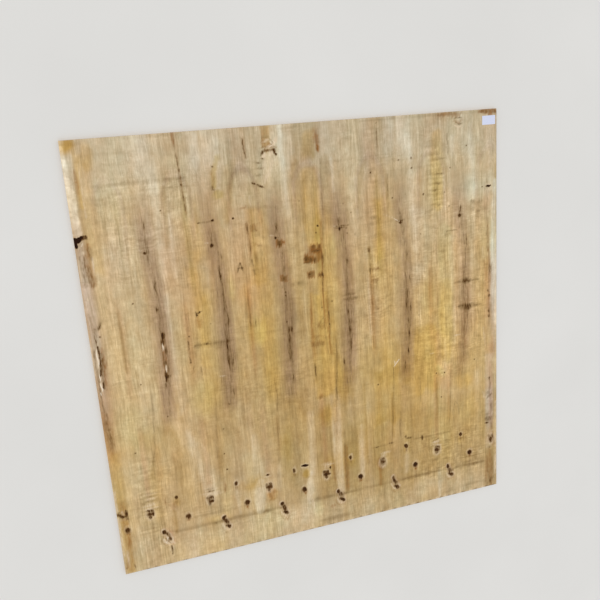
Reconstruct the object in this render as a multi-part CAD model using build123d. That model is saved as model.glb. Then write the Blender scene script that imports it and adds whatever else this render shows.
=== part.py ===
from build123d import *
import math
import os

# Plywood sheet in millimetres, lying face up: X across the face grain, Y along
# it, Z up, with the origin at the middle of the underside.
# Sheet and plies
sheet_width = 1220.0
sheet_length = 1220.0
face_ply = 0.7
cross_ply = 2.5
core_ply = 2.6
sheet_thickness = 2 * face_ply + 2 * cross_ply + core_ply

# The face ply is peeled off a turning log as one long ribbon, so every knot in
# the log comes back once a turn.  The turns grow wider as the log was thicker.
core_radius = 26.8

# Torn knots, the largest: angle on the log in degrees, height above the lower
# edge, width, length, and how far they reach into the ply below the face
torn_knot_angle = 279.0
torn_knot_height = 93.0
torn_knot_width = 15.0
torn_knot_length = 34.0
torn_knot_sink = 0.9
torn_knot_ragged = 0.16

# Loose knots, a little higher up the sheet
loose_knot_angle = 194.6
loose_knot_height = 177.0
loose_knot_width = 12.0
loose_knot_length = 15.0
loose_knot_sink = 0.3
loose_knot_ragged = 0.13

# Dark knots that stayed in, dished where they dried
dark_knot_angle = 53.3
dark_knot_height = 139.0
dark_knot_width = 12.0
dark_knot_length = 13.0
dark_knot_dish = 0.35
dark_knot_ragged = 0.05

# Small knots
small_knot_angle = 357.0
small_knot_height = 210.0
small_knot_width = 6.0
small_knot_length = 8.0
small_knot_dish = 0.5
small_knot_ragged = 0.1

# Pin knots at the top of each dark streak
pin_knot_angle = 360.4
pin_knot_height = 921.0
pin_knot_width = 4.0
pin_knot_length = 5.0
pin_knot_dish = 0.5
pin_knot_ragged = 0.05

# Splits along the grain in each dark streak, from the top down: the angle on the
# log and the height of each one's middle, and its length
split_angles = (395.0, 398.0, 399.0, 396.0, 386.0)
split_heights = (829.0, 757.0, 685.0, 596.0, 508.0)
split_lengths = (32.0, 44.0, 36.0, 52.0, 26.0)
split_width = 1.4
split_drift = 3.0

# Gouge and slot that a knife left, both right through the face ply
gouge_across = 557.5
gouge_height = 219.5
gouge_width = 15.0
gouge_length = 6.0
slot_across = 1192.0
slot_height = 997.5
slot_width = 16.0
slot_length = 4.5
cut_sink = 0.9

# Torn gap in the left edge, where the face ply and the ply below broke away
gap_height = 968.0
gap_width = 34.0
gap_rise = 33.0
# Its outlines, as shares of that width and rise, counted from the middle of the
# gap on the edge: where only the face ply is gone, and where the next one is too
ledge_outline = [(0.0, 0.33), (0.2, 0.27), (0.45, 0.42), (0.58, 0.5), (1.0, 0.38), (0.97, 0.12),
                 (0.55, 0.03), (0.42, -0.2), (0.2, -0.36), (0.0, -0.5)]
hole_outline = [(0.0, 0.33), (0.2, 0.27), (0.45, 0.4), (0.51, 0.05), (0.38, -0.2), (0.18, -0.36), (0.0, -0.5)]

# Chips along the lower edge by the right corner
chip_width = 7.0
chip_bite = 2.6
chip_spacing = 11.0
chip_count = 3
chip_inset = 14.0
# A chip's outline, as shares of its width and of its bite
chip_outline = [(-0.5, 0.0), (-0.17, 1.0), (0.25, 0.6), (0.5, 0.0)]
chip_fade = 0.25

outline_points = 10
overcut = 1.0

left = -sheet_width / 2
right = sheet_width / 2
low = -sheet_length / 2


def unrolled(degrees):
    """X of the place on the log at this angle, counted from the left edge."""
    turn = math.radians(degrees)
    return left + core_radius * turn + face_ply * turn**2 / (4 * math.pi)


def turns(degrees, reach):
    """X of each copy of a mark at this angle that lies on the sheet, with its number."""
    copies = []
    number = 0 if degrees < 360 else -1
    while unrolled(degrees + 360 * number) < right - reach:
        x = unrolled(degrees + 360 * number)
        if x > left + reach:
            copies.append((number, x))
        number += 1
    return copies


def sunk(outline, depth):
    """The cut that this outline makes from the face down to the depth."""
    return extrude(Pos(0, 0, sheet_thickness - depth) * outline, depth + overcut)


def ragged_hole(x, y, width, length, ragged, twist):
    """A closed outline about an oval, with lobes that turn by twist."""
    points = []
    for step in range(outline_points):
        angle = 2 * math.pi * step / outline_points
        lobes = math.cos(2 * angle + twist) + math.cos(3 * angle - twist) / 2
        reach = 1 + ragged * lobes
        points.append((x + width / 2 * reach * math.cos(angle), y + length / 2 * reach * math.sin(angle)))
    return make_face(Spline(*points, periodic=True))


def knots(angle, height, width, length, depth, ragged):
    """One cut for each turn of the log."""
    cuts = []
    for number, x in turns(angle, width):
        outline = ragged_hole(x, low + height, width, length, ragged, number)
        cuts.append(sunk(outline, depth))
    return cuts


def split(x, y, width, length):
    """A slit along the grain that narrows to a point at both ends."""
    start = (x, y - length / 2)
    end = (x, y + length / 2)
    edges = [ThreePointArc(start, (x + width / 2, y), end), ThreePointArc(end, (x - width / 2, y), start)]
    return make_face(edges)


def splits():
    """The slits of every dark streak, stepping a little to and fro across it."""
    cuts = []
    for place, (angle, height, length) in enumerate(zip(split_angles, split_heights, split_lengths)):
        for number, x in turns(angle, split_drift + split_width):
            shift = split_drift * math.sin(2 * place + number)
            cuts.append(sunk(split(x + shift, low + height, split_width, length), face_ply))
    return cuts


def knife_cuts():
    """A gouge and a slot across the grain, into the ply below the face."""
    gouge = Pos(left + gouge_across, low + gouge_height) * SlotOverall(gouge_width, gouge_length)
    slot = Pos(left + slot_across, low + slot_height) * SlotOverall(slot_width, slot_length)
    return [sunk(gouge, face_ply + cut_sink), sunk(slot, face_ply + cut_sink)]


def torn(shares):
    """An outline of the torn gap that runs out past the left edge."""
    points = [(left + across * gap_width, low + gap_height + up * gap_rise) for across, up in shares]
    outside = [(left - overcut, points[-1][1]), (left - overcut, points[0][1])]
    return make_face(Polyline(*points, *outside, close=True))


def edge_gap():
    """The torn gap: a ledge where only the face ply is gone, and a deep hole beside the edge."""
    return [sunk(torn(ledge_outline), face_ply), sunk(torn(hole_outline), face_ply + cross_ply)]


def edge_chips():
    """Bites out of the face ply where the saw left it at the lower edge."""
    cuts = []
    for number in range(chip_count):
        x = right - chip_inset - number * chip_spacing
        bite = chip_bite * (1 - chip_fade * number)
        points = [(x + across * chip_width, low + up * bite) for across, up in chip_outline]
        outside = [(points[-1][0], low - overcut), (points[0][0], low - overcut)]
        cuts.append(sunk(make_face(Polyline(*points, *outside, close=True)), face_ply))
    return cuts


def sheet():
    """The whole sheet: the plies glued into one board, less what broke or tore out of its face."""
    board = Pos(0, 0, sheet_thickness / 2) * Box(sheet_width, sheet_length, sheet_thickness)
    cuts = knots(torn_knot_angle, torn_knot_height, torn_knot_width, torn_knot_length,
                 face_ply + torn_knot_sink, torn_knot_ragged)
    cuts += knots(loose_knot_angle, loose_knot_height, loose_knot_width, loose_knot_length,
                  face_ply + loose_knot_sink, loose_knot_ragged)
    cuts += knots(dark_knot_angle, dark_knot_height, dark_knot_width, dark_knot_length,
                  dark_knot_dish, dark_knot_ragged)
    cuts += knots(small_knot_angle, small_knot_height, small_knot_width, small_knot_length,
                  small_knot_dish, small_knot_ragged)
    cuts += knots(pin_knot_angle, pin_knot_height, pin_knot_width, pin_knot_length,
                  pin_knot_dish, pin_knot_ragged)
    cuts += splits() + knife_cuts() + edge_gap() + edge_chips()
    return board - cuts


os.makedirs("parts", exist_ok=True)
export_step(sheet(), "parts/sheet.step")
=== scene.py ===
import math
from functools import partial

import bpy
import numpy as np
from mathutils import Matrix, Vector


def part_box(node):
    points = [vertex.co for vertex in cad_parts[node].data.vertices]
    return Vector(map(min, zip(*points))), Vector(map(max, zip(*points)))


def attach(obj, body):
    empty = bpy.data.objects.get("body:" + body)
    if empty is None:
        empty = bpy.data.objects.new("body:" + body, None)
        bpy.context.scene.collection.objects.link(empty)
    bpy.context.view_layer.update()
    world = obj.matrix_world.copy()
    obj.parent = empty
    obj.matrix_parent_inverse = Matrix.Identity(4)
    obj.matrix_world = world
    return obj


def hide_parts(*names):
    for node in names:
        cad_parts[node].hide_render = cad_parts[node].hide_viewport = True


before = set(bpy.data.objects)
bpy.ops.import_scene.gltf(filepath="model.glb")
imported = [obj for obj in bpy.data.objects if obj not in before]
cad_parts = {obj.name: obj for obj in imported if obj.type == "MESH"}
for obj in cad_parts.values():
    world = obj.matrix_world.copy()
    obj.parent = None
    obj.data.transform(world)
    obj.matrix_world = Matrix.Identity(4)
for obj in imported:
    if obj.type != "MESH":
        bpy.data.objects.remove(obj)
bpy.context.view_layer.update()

# The sheet's size in millimetres, from the frame
MM = 0.001
low_corner, high_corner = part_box("sheet")
WIDTH = (high_corner.x - low_corner.x) / MM
LENGTH = (high_corner.y - low_corner.y) / MM
THICK = (high_corner.z - low_corner.z) / MM

# Plies, from the face down
FACE_PLY = 0.7
CROSS_PLY = 2.5
PLY_LEVELS = (THICK - FACE_PLY, THICK - FACE_PLY - CROSS_PLY, FACE_PLY + CROSS_PLY, FACE_PLY)

# Radius of the log where the left edge of the face ply was peeled
CORE_RADIUS = 26.8

# Where the sheet's corners are in the picture, in its own 600 x 600 pixels
PICTURE = 600
CORNER_PIXELS = {
    (0, 1): (57.2, 141.6),
    (1, 1): (497.0, 108.9),
    (1, 0): (496.8, 483.3),
    (0, 0): (125.2, 574.0),
}
FOCAL_PIXELS = 681.0
SENSOR_WIDTH = 36.0


# Marks on the face.  Places are in millimetres from the left and the lower edge.

def smooth(start, end, value):
    """Rises from 0 at start to 1 at end."""
    share = np.clip((value - start) / (end - start), 0.0, 1.0)
    return share * share * (3 - 2 * share)


def between(value, start, end, fade):
    """1 from start to end, and fading to 0 outside."""
    return smooth(start - fade, start + fade, value) * smooth(end + fade, end - fade, value)


def lattice_noise(u, v, seed):
    """Smooth noise from -1 to 1, with about one lump for each unit."""
    cells = 128
    table = np.random.default_rng(seed).uniform(-1, 1, (cells, cells))
    column, row = np.floor(u).astype(int), np.floor(v).astype(int)
    across, up = u - column, v - row
    across, up = across * across * (3 - 2 * across), up * up * (3 - 2 * up)
    left, right = column % cells, (column + 1) % cells
    lower, upper = row % cells, (row + 1) % cells
    bottom = table[lower, left] * (1 - across) + table[lower, right] * across
    top = table[upper, left] * (1 - across) + table[upper, right] * across
    return bottom * (1 - up) + top * up


def cloud(x, y, wide, tall, seed, octaves=3):
    """Noise whose largest lumps are wide across and tall along the grain."""
    total = np.zeros_like(x)
    for octave in range(octaves):
        total += lattice_noise(x * 2**octave / wide, y * 2**octave / tall, seed + octave) / 2**octave
    return total / 1.5


def turn_at(x):
    """Turns of the log that were peeled between the left edge and x."""
    return (np.sqrt(CORE_RADIUS**2 + FACE_PLY * np.maximum(x, 0) / math.pi) - CORE_RADIUS) / FACE_PLY


def place_of(turn):
    """X of the place that lies this many turns from the left edge."""
    angle = 2 * math.pi * turn
    return CORE_RADIUS * angle + FACE_PLY * angle**2 / (4 * math.pi)


def oval(x, y, width, height, tilt=0):
    """How far outside an oval a point lies."""
    c, s = math.cos(math.radians(tilt)), math.sin(math.radians(tilt))

    def outside(px, py):
        u = ((px - x) * c + (py - y) * s) * 2 / width
        v = ((py - y) * c - (px - x) * s) * 2 / height
        return (np.hypot(u, v) - 1) * min(width, height) / 2
    return outside


def block(x0, x1, y0, y1):
    """How far outside a rectangle a point lies."""
    def outside(px, py):
        return np.maximum(np.maximum(x0 - px, px - x1), np.maximum(y0 - py, py - y1))
    return outside


def line(width, *points, taper=0.0):
    """How far outside a band along these points a place lies. The band narrows to its ends by taper."""
    def outside(px, py):
        nearest = np.full_like(px, 1e6)
        spans = len(points) - 1
        for number in range(spans):
            (x0, y0), (x1, y1) = points[number], points[number + 1]
            dx, dy = x1 - x0, y1 - y0
            share = np.clip(((px - x0) * dx + (py - y0) * dy) / (dx * dx + dy * dy), 0, 1)
            along = abs(2 * (number + share) / spans - 1)
            half = width / 2 * (1 - taper * along**2)
            nearest = np.minimum(nearest, np.hypot(px - x0 - share * dx, py - y0 - share * dy) - half)
        return nearest
    return outside


def level(y, x0, x1, width, rise=0):
    """A band across the grain."""
    return line(width, (x0, y), (x1, y + rise), taper=0.6)


def upright(x, y0, y1, width):
    """A band along the grain."""
    return line(width, (x, y0), (x, y1), taper=0.8)


# Tints change the wood's own colour: tone makes it lighter or darker, warm more yellow or more grey, blush
# redder or greener, and ripple gives it stronger marks of the knife. Paints are laid over it.
TINTS = ("tone", "warm", "blush", "ripple")
# Besides stains and pale wood, umber also paints shadow and pale paints highlights at a few places, each of
# which says so
PAINTS = ("rust", "umber", "pale")
marks = []
dents = []


def mark(paint, strength, soft, *shapes):
    """Adds shapes to one tint or paint of the face, with edges that fade over soft millimetres."""
    marks.extend((paint, strength, soft, shape) for shape in shapes)


def wash(soft, *shapes, tone=0, warm=0, blush=0):
    """Adds shapes to each of the broad tints that has a strength here."""
    for tint, strength in (("tone", tone), ("warm", warm), ("blush", blush)):
        if strength:
            mark(tint, strength, soft, *shapes)


def dent(depth, soft, *shapes):
    """Sinks shapes into the face by depth millimetres."""
    dents.extend((depth, soft, shape) for shape in shapes)


umber, rust, pale, ripples = [partial(mark, name) for name in ("umber", "rust", "pale", "ripple")]


# Dark knots that stayed in, dished where they dried: x, y, how black
DARK_KNOTS = [
    (24, 138, 0.72), (197, 139, 0.75), (373, 141, 0.8), (551.5, 141, 0.85),
    (736, 141, 0.95), (924.5, 140, 0.95), (1119, 140, 0.95),
]
for x, y, black in DARK_KNOTS:
    pale(0.3 * black, 5, oval(x + 1, y + 2, 25, 27))
    rust(0.7, 4, oval(x, y - 3, 16, 22), oval(x, y - 12, 6, 9))
    umber(0.7 * black, 4.5, oval(x, y - 0.5, 17, 17))
    umber(0.6 * black, 5, oval(x, y, 15, 15))
    umber(0.8 * black, 5, oval(x + 0.5, y + 0.5, 11, 11))
    umber(0.3 * black, 3, oval(x, y - 9.6, 6, 7))
    dent(0.35, 3, oval(x, y, 14, 15))

# Loose knots, each with the dark lobes that are left of it: x, y, width, height, strength
LOOSE_KNOTS = [
    [(86, 183, 8, 6, 0.65), (97, 181, 7, 7, 0.65), (89, 172, 12, 9, 0.75), (98, 170, 7, 11, 0.8),
     (90, 162, 7, 12, 0.65), (95, 176, 16, 14, 0.3)],
    [(257, 183, 5, 7, 0.5), (271, 183, 8, 8, 0.7), (264, 177, 12, 16, 0.45), (271, 170, 10, 9, 0.95),
     (264, 165, 8, 16, 0.6)],
    [(436, 180, 9, 16, 0.4), (448, 184, 8, 10, 0.65), (441, 175, 12, 9, 0.75), (449, 174, 8, 11, 0.85),
     (443, 164, 7, 14, 0.45)],
    [(619, 185, 10, 8, 0.65), (631, 183, 8, 11, 0.65), (623, 174, 15, 9, 0.85), (633, 174, 14, 6, 0.8),
     (625, 166, 8, 12, 0.5), (624, 180, 20, 14, 0.45)],
    [(816, 185, 9, 8, 0.6), (808, 182, 8, 14, 0.35), (811, 173, 10, 11, 0.6), (818, 174, 7, 8, 0.75)],
    [(1000, 185, 10, 8, 0.6), (1009, 184, 8, 7, 0.6), (1001, 175, 14, 10, 0.75), (1003, 174, 18, 8, 0.5),
     (1001, 166, 8, 12, 0.4)],
    [(1192, 183, 7, 9, 0.4), (1205, 181, 6, 15, 0.6), (1198, 171, 10, 14, 0.85), (1198, 161, 6, 9, 0.5)],
]
for lobes in LOOSE_KNOTS:
    x, y = lobes[2][0] + 2, lobes[2][1] + 1
    pale(0.4, 7, oval(x, y - 1, 30, 40))
    wash(6, oval(x, y, 24, 34), blush=0.5)
    umber(0.34, 5, oval(x, y, 22, 27))
    # Two small painted highlights in each loose knot
    pale(0.35, 3, oval(x - 1, y + 5, 4, 5), oval(x + 5, y - 6, 3, 6))
    for lobe_x, lobe_y, width, height, strength in lobes:
        umber(0.88 * strength, 3.5, oval(lobe_x, lobe_y, width + 1, height + 1))
        dent(0.2 + 0.6 * strength, 2, oval(lobe_x, lobe_y, width - 1, height - 1))
    dent(0.3, 4, oval(x, y, 17, 22))

# Ripples above the loose knots: x, y, half length, pale or dark
RIPPLES = [
    (95, 190, 20, 0.6), (92, 198, 18, 0.7), (98, 203, 16, 0.5), (100, 219, 16, 0.5), (96, 212, 20, -0.35),
    (92, 226, 20, -0.35), (96, 234, 24, 0.25), (98, 185, 22, -0.3), (76, 207, 5, -0.4), (272, 193, 22, 0.7),
    (268, 198, 24, 0.55), (272, 207, 16, 0.6), (266, 203, 5, -0.7), (276, 203, 5, -0.6),
    (270, 214, 14, 0.5), (268, 211, 12, -0.4), (268, 222, 12, 0.3), (290, 190, 12, 0.4),
    (440, 209, 10, 0.6), (440, 221, 8, 0.3), (434, 199, 8, 0.3), (632, 205, 17, 0.8), (628, 211, 15, 0.5),
    (627, 198, 14, 0.4), (815, 196, 10, 0.7), (822, 204, 16, 0.6), (1000, 203, 12, 0.8),
    (994, 196, 10, 0.4), (1010, 190, 10, 0.5), (1196, 192, 8, 0.4), (1204, 200, 8, 0.4),
]
for x, y, half, light in RIPPLES:
    mark("pale" if light > 0 else "umber", 0.8 * abs(light), 4, oval(x, y, 2 * half, 5.5, 2))

# Torn knots: the path of the torn wood, and the dark holes along it with x, y, width, height, tilt, strength
TORN_KNOTS = [
    ([(123, 108), (129, 99), (136, 90), (137, 80)],
     [(123.5, 106, 10, 12, 0, 0.85), (130, 98, 7, 14, 40, 0.4), (137, 80, 8, 9, 0, 0.5)]),
    ([(299, 110), (304, 98), (308, 88), (311, 77)],
     [(298, 106, 7, 13, 0, 0.75), (302, 111, 10, 7, 0, 0.7), (304, 97, 10, 10, 30, 0.65),
      (308, 91, 7, 9, 0, 0.6), (307, 79, 12, 6, -15, 0.7), (313, 75, 8, 10, 20, 0.8)]),
    ([(478, 111), (483, 99), (486, 90), (488, 78)],
     [(478, 110, 9, 10, -15, 0.95), (484, 95, 9, 18, 10, 0.6), (486, 90, 6, 9, 0, 0.5),
      (485, 80, 12, 7, -20, 0.7), (491, 76, 8, 11, 20, 0.8)]),
    ([(660, 108), (667, 97), (670, 88), (672, 78)],
     [(660, 108, 9, 14, -10, 0.85), (668, 96, 10, 16, 0, 0.42), (668, 80, 14, 8, -25, 0.75),
      (675, 75, 10, 11, 25, 0.9)]),
    ([(847, 112), (851, 98), (856, 90), (857, 78)],
     [(847, 111, 8, 12, 0, 0.4), (850, 101, 9, 9, 30, 0.6), (855, 94, 9, 11, 10, 0.65),
      (853, 80, 12, 7, -20, 0.65), (860, 75, 11, 12, 20, 0.75)]),
    ([(1040, 109), (1043, 99), (1047, 90), (1050, 78)],
     [(1039, 108, 9, 15, 0, 0.8), (1046, 91, 9, 13, 0, 0.65), (1055, 91, 9, 8, 0, 0.4),
      (1045, 80, 12, 7, -25, 0.7), (1054, 75, 13, 12, 15, 0.75)]),
]
for path, holes in TORN_KNOTS:
    x, y = path[0]
    pale(0.35, 6, line(17, *path, (x + 12, y - 36)))
    wash(8, line(24, *path, (x + 12, y - 36)), blush=0.8)
    wash(8, line(22, *path, (x + 12, y - 34)), tone=-0.35)
    # Pale rims of torn wood round each torn knot, painted as highlights
    pale(0.6, 4, line(5, (x - 6, y - 20), (x - 2, y - 34), (x + 7, y - 44), taper=0.6))
    pale(0.5, 4, line(4.5, (x - 8, y - 3), (x - 4, y + 7), (x + 4, y + 9), taper=0.6),
         line(5, (x + 17, y - 24), (x + 21, y - 33), (x + 17, y - 42), taper=0.6))
    rust(0.35, 3, line(3, (x - 11, y - 24), (x - 8, y - 38), (x + 2, y - 50), (x + 12, y - 51), taper=0.6))
    umber(0.42 if x > 200 else 0.25, 7, line(13, *path, taper=0.2))
    dent(0.7, 2.5, line(8, *path, taper=0.25))
    for hole_x, hole_y, hole_width, hole_height, tilt, strength in holes:
        umber(0.93 * strength, 3.5, oval(hole_x, hole_y, hole_width + 1.5, hole_height + 1.5, tilt))
        dent(0.5 + strength, 2, oval(hole_x, hole_y, hole_width - 1, hole_height - 1, tilt))
umber(0.5, 3, line(5, (125, 103), (131, 95), (135, 87), (139, 77), taper=0.3),
      line(3.5, (126, 84), (131, 74), (137, 65), taper=0.4), line(3, (119, 92), (116, 82), taper=0.5))
pale(0.75, 3, line(5, (126, 94), (130, 83), (129, 74), taper=0.5),
     line(4, (121, 84), (124, 72), (133, 63), taper=0.5))
pale(0.6, 3, line(4, (139, 96), (144, 84), (143, 72), (148, 62), taper=0.5),
     line(3.5, (134, 72), (141, 64), taper=0.5))
wash(6, oval(140, 96, 12, 30, 8), oval(146, 66, 10, 22, -20), blush=1)
umber(0.6, 3, line(5, (138, 57), (139, 44), (139, 29), taper=0.3))
pale(0.4, 3, line(4, (142, 56), (143, 44), taper=0.6), line(4, (134, 55), (134, 42), taper=0.6))
dent(0.7, 2, line(4, (138, 56), (139, 44), (139, 29), taper=0.5))

# Small knots: x, y, width, height, tilt, strength, glow
SMALL_KNOTS = [
    (169, 207, 8.5, 12, 0, 0.82, 0.5), (344.5, 210, 9, 16, -8, 0.8, 0.1), (524, 210, 9, 16, 5, 0.8, 0.2),
    (706, 213, 9, 14, -5, 0.8, 0.2), (894, 211, 12, 16, 25, 0.85, 0.3), (1087.5, 210, 11, 14, 8, 0.85, 0.3),
]
for x, y, width, height, tilt, strength, glow in SMALL_KNOTS:
    pale(0.5 - glow, 5, oval(x + 2, y + 2, 17, 24))
    wash(12, oval(x, y - 10, 20, 36), warm=0.5 * glow)
    umber(strength, 3.5, oval(x, y, width + 0.5, height, tilt))
    umber(0.25, 4, oval(x, y - 15, 8, 10))
    rust(0.35, 5, oval(x, y - 10, 8, 16))
    dent(0.5, 2, oval(x, y, width - 2, height - 3, tilt))

# Pin knots at the heads of the streaks
PIN_KNOTS = [(170, 921), (346, 920), (524.5, 920), (712.5, 924), (899.5, 921), (1095, 921)]
for number, (x, y) in enumerate(PIN_KNOTS):
    umber(0.7 if number == 0 else 0.85, 3.5, oval(x, y - 1, 8, 8 + 4 * (number % 2)))
    umber(0.3, 4, line(5, (x - 8, y + 1), (x + 11, y), taper=0.8))
    umber(0.35 + 0.15 * (number % 2), 3.5, line(4, (x, y + 4), (x + 2 * (number % 3), y + 31), taper=0.7))
    pale(0.3, 3, line(4, (x - 16, y + 8), (x - 6, y + 7), taper=0.6))
    dent(0.5, 1.5, oval(x, y, 5, 6))
umber(0.5, 3, level(931, 712, 742, 4), level(926, 888, 912, 5), level(926, 700, 730, 4))
umber(0.2, 3, line(4, (925, 915), (924, 945), taper=0.6), line(4, (1095, 926), (1096, 945), taper=0.5))


def streak_phase(y):
    """How far past the full turn the middle of a streak lies at each height."""
    heights = [430, 458, 519, 580, 702, 824, 885, 946, 1040]
    return np.interp(y, heights, [0.055, 0.06, 0.078, 0.1, 0.11, 0.098, 0.06, 0.03, 0.015])


# Dark threads in each streak: distance from its middle, from y, to y.  Each has a point every THREAD_STEP.
THREAD_STEP = 27
THREADS = [(-3, 885, 990), (4, 850, 975), (0, 690, 885), (-5, 560, 760), (6, 540, 740), (1, 455, 600)]
for number in range(1, 7):
    for place, (offset, low, high) in enumerate(THREADS):
        shift = offset + 2 * math.sin(3 * number + place)
        heights = range(low, high + 1, THREAD_STEP)
        swing = [2 * math.sin(y / 30 + number) for y in heights]
        middle = [place_of(number + streak_phase(y)) for y in heights]
        points = [(x + shift + across, y) for x, across, y in zip(middle, swing, heights)]
        umber(0.36, 4, line(3.5, *points, taper=0.5))

# Small dark specks
SPECKS = [
    (224, 1026), (243, 982), (318, 983.5), (355, 986), (413, 985), (283.5, 1086), (122.5, 790), (115, 564),
    (322, 704), (259, 678), (255, 602), (304, 648), (325.6, 389), (321, 311), (324, 260), (175, 458),
    (349, 461), (642, 920), (728, 993), (750, 965.5), (760, 902), (814, 1070), (901, 1098), (942, 1101),
    (943, 1073), (879, 994), (920, 1000), (977, 994), (1046, 994), (1065, 1063), (1120, 1121), (646, 702),
    (678, 717), (665, 649), (809, 434), (1021.5, 352.5), (1141, 458), (1006, 436), (1035, 433), (1193, 387),
    (440, 216), (74, 368), (541.5, 762), (541.5, 752), (529, 731), (539, 676), (838, 1205), (978, 997),
    (640, 195), (287, 733), (293, 741), (820, 672), (952, 632), (964, 879), (1060, 952), (28, 713),
    (600, 1013),
]
FAINT_SPECKS = [
    (243, 982), (728, 993), (750, 965.5), (760, 902), (920, 1000), (964, 879), (1060, 952), (1046, 994),
    (952, 632), (529, 731), (322, 704), (600, 1013), (820, 672), (838, 1205),
]
for x, y in SPECKS:
    umber(0.35 if (x, y) in FAINT_SPECKS else 0.7, 2.2, oval(x, y, 4.6, 4.8))
umber(0.85, 2.5, oval(649, 939, 6.5, 7), oval(441, 215, 11, 6, -15), oval(640, 194, 6, 10),
      oval(357, 985.5, 7, 6))
umber(0.6, 2.5, oval(413, 985, 6.5, 7), oval(705, 931, 7, 5), oval(733, 923, 6, 6), oval(736, 909, 5, 6))

# Slits and dark lines along the grain: x, from y, to y, width
SLITS = [
    (176.5, 984, 997, 3), (187, 814, 843, 4), (183, 760, 770, 6), (189, 673, 699, 8), (186, 564, 582, 6),
    (181, 544, 558, 4), (359.5, 838, 852, 3.5), (362, 822, 836, 4), (371, 876, 886, 4),
    (364, 731, 791, 2.5), (372, 696, 722, 4), (362, 640, 656, 4), (362, 622, 638, 4), (361.6, 577, 604, 7),
    (373, 568, 598, 3.5), (366, 488, 502, 3), (530, 946, 962, 3), (543, 819, 833, 4), (542, 602, 659, 3.5),
    (552, 642, 658, 3), (540, 565, 598, 4.5), (545, 496, 512, 3), (732, 820, 834, 3.5), (724, 669, 683, 4),
    (729, 641, 655, 4), (728, 611, 638, 4), (728, 559, 592, 4), (920, 818, 830, 3), (926, 745, 759, 3),
    (917, 700, 716, 4), (913, 663, 677, 4), (926, 649, 670, 3), (918, 610, 624, 4), (917, 575, 589, 4),
    (913, 516, 532, 3.5), (901, 470, 492, 5), (1117, 832, 858, 4), (613, 497, 536, 3.5), (704, 520, 533, 4),
    (448, 680, 692, 2),
]
for x, y0, y1, width in SLITS:
    umber(0.28, 5, upright(x, y0 - 9, y1 + 9, width + 3))
    umber(0.45, 3, upright(x, y0, y1, width - 0.5))
    dent(0.6, 1.2, upright(x, y0 + 2, y1 - 2, width * 0.5))


# Fine brown lines along the grain
LINES = [
    ((277, 1215), (281, 1141), (283, 1105), (286, 1060), (287, 1020)), ((366, 1215), (366, 1188)),
    ((838, 1183), (838, 1110)), ((864, 1063), (864, 960)), ((1060, 1139), (1060, 1104)),
    ((1028, 1215), (1028, 1180)), ((254, 677), (254, 602)), ((447, 971), (449, 902)),
    ((450, 882), (458, 825)), ((263, 745), (259, 690)), ((667, 760), (667, 610)),
    ((643, 740), (655, 570), (663, 530)), ((463, 600), (463, 520)),
]
for points in LINES:
    umber(0.28, 4, line(3.5, *points, taper=0.4))
# Short dashes on such lines
DASHES = [
    ((279, 1164), (280, 1153)), ((281, 1148), (282, 1133)), ((282, 1129), (283, 1120)),
    ((283, 1109), (284, 1100)), ((284, 1088), (284, 1084)), ((286, 1062), (286, 1044)),
    ((287, 1036), (287, 1018)), ((454, 868), (456, 850)), ((451, 900), (452, 884)),
    ((457, 838), (460, 826)), ((447, 960), (447, 948)), ((258, 742), (257, 726)), ((256, 664), (255, 640)),
    ((255, 618), (256, 604)), ((262, 590), (260, 572)), ((282, 586), (283, 560)), ((667, 870), (667, 850)),
    ((666, 690), (666, 660)), ((1057, 1160), (1057, 1130)), ((1058, 1120), (1058, 1102)),
    ((861, 480), (862, 455)), ((432, 766), (431, 740)), ((434, 712), (433, 680)),
]
for start, end in DASHES:
    umber(0.45, 3, line(3, start, end, taper=0.4))
umber(0.2, 4, line(4, (838, 1190), (838, 1128)), line(4, (863, 1160), (864, 1140)),
      line(4, (864, 1060), (865, 1000)))
rust(0.3, 5, line(7, (280, 1170), (286, 1060), (288, 1010), taper=0.3),
     line(7, (457, 1195), (462, 1138), taper=0.3))
rust(0.6, 5, line(7, (275, 1218), (277, 1186), taper=0.3))
umber(0.75, 3, line(3.5, (456, 1192), (457, 1165), (461, 1150), (462, 1138), taper=0.5))
pale(0.5, 5, line(5, (455, 1208), (457, 1192), taper=0.5), line(5, (463, 1043), (463, 1008), taper=0.5))

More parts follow.
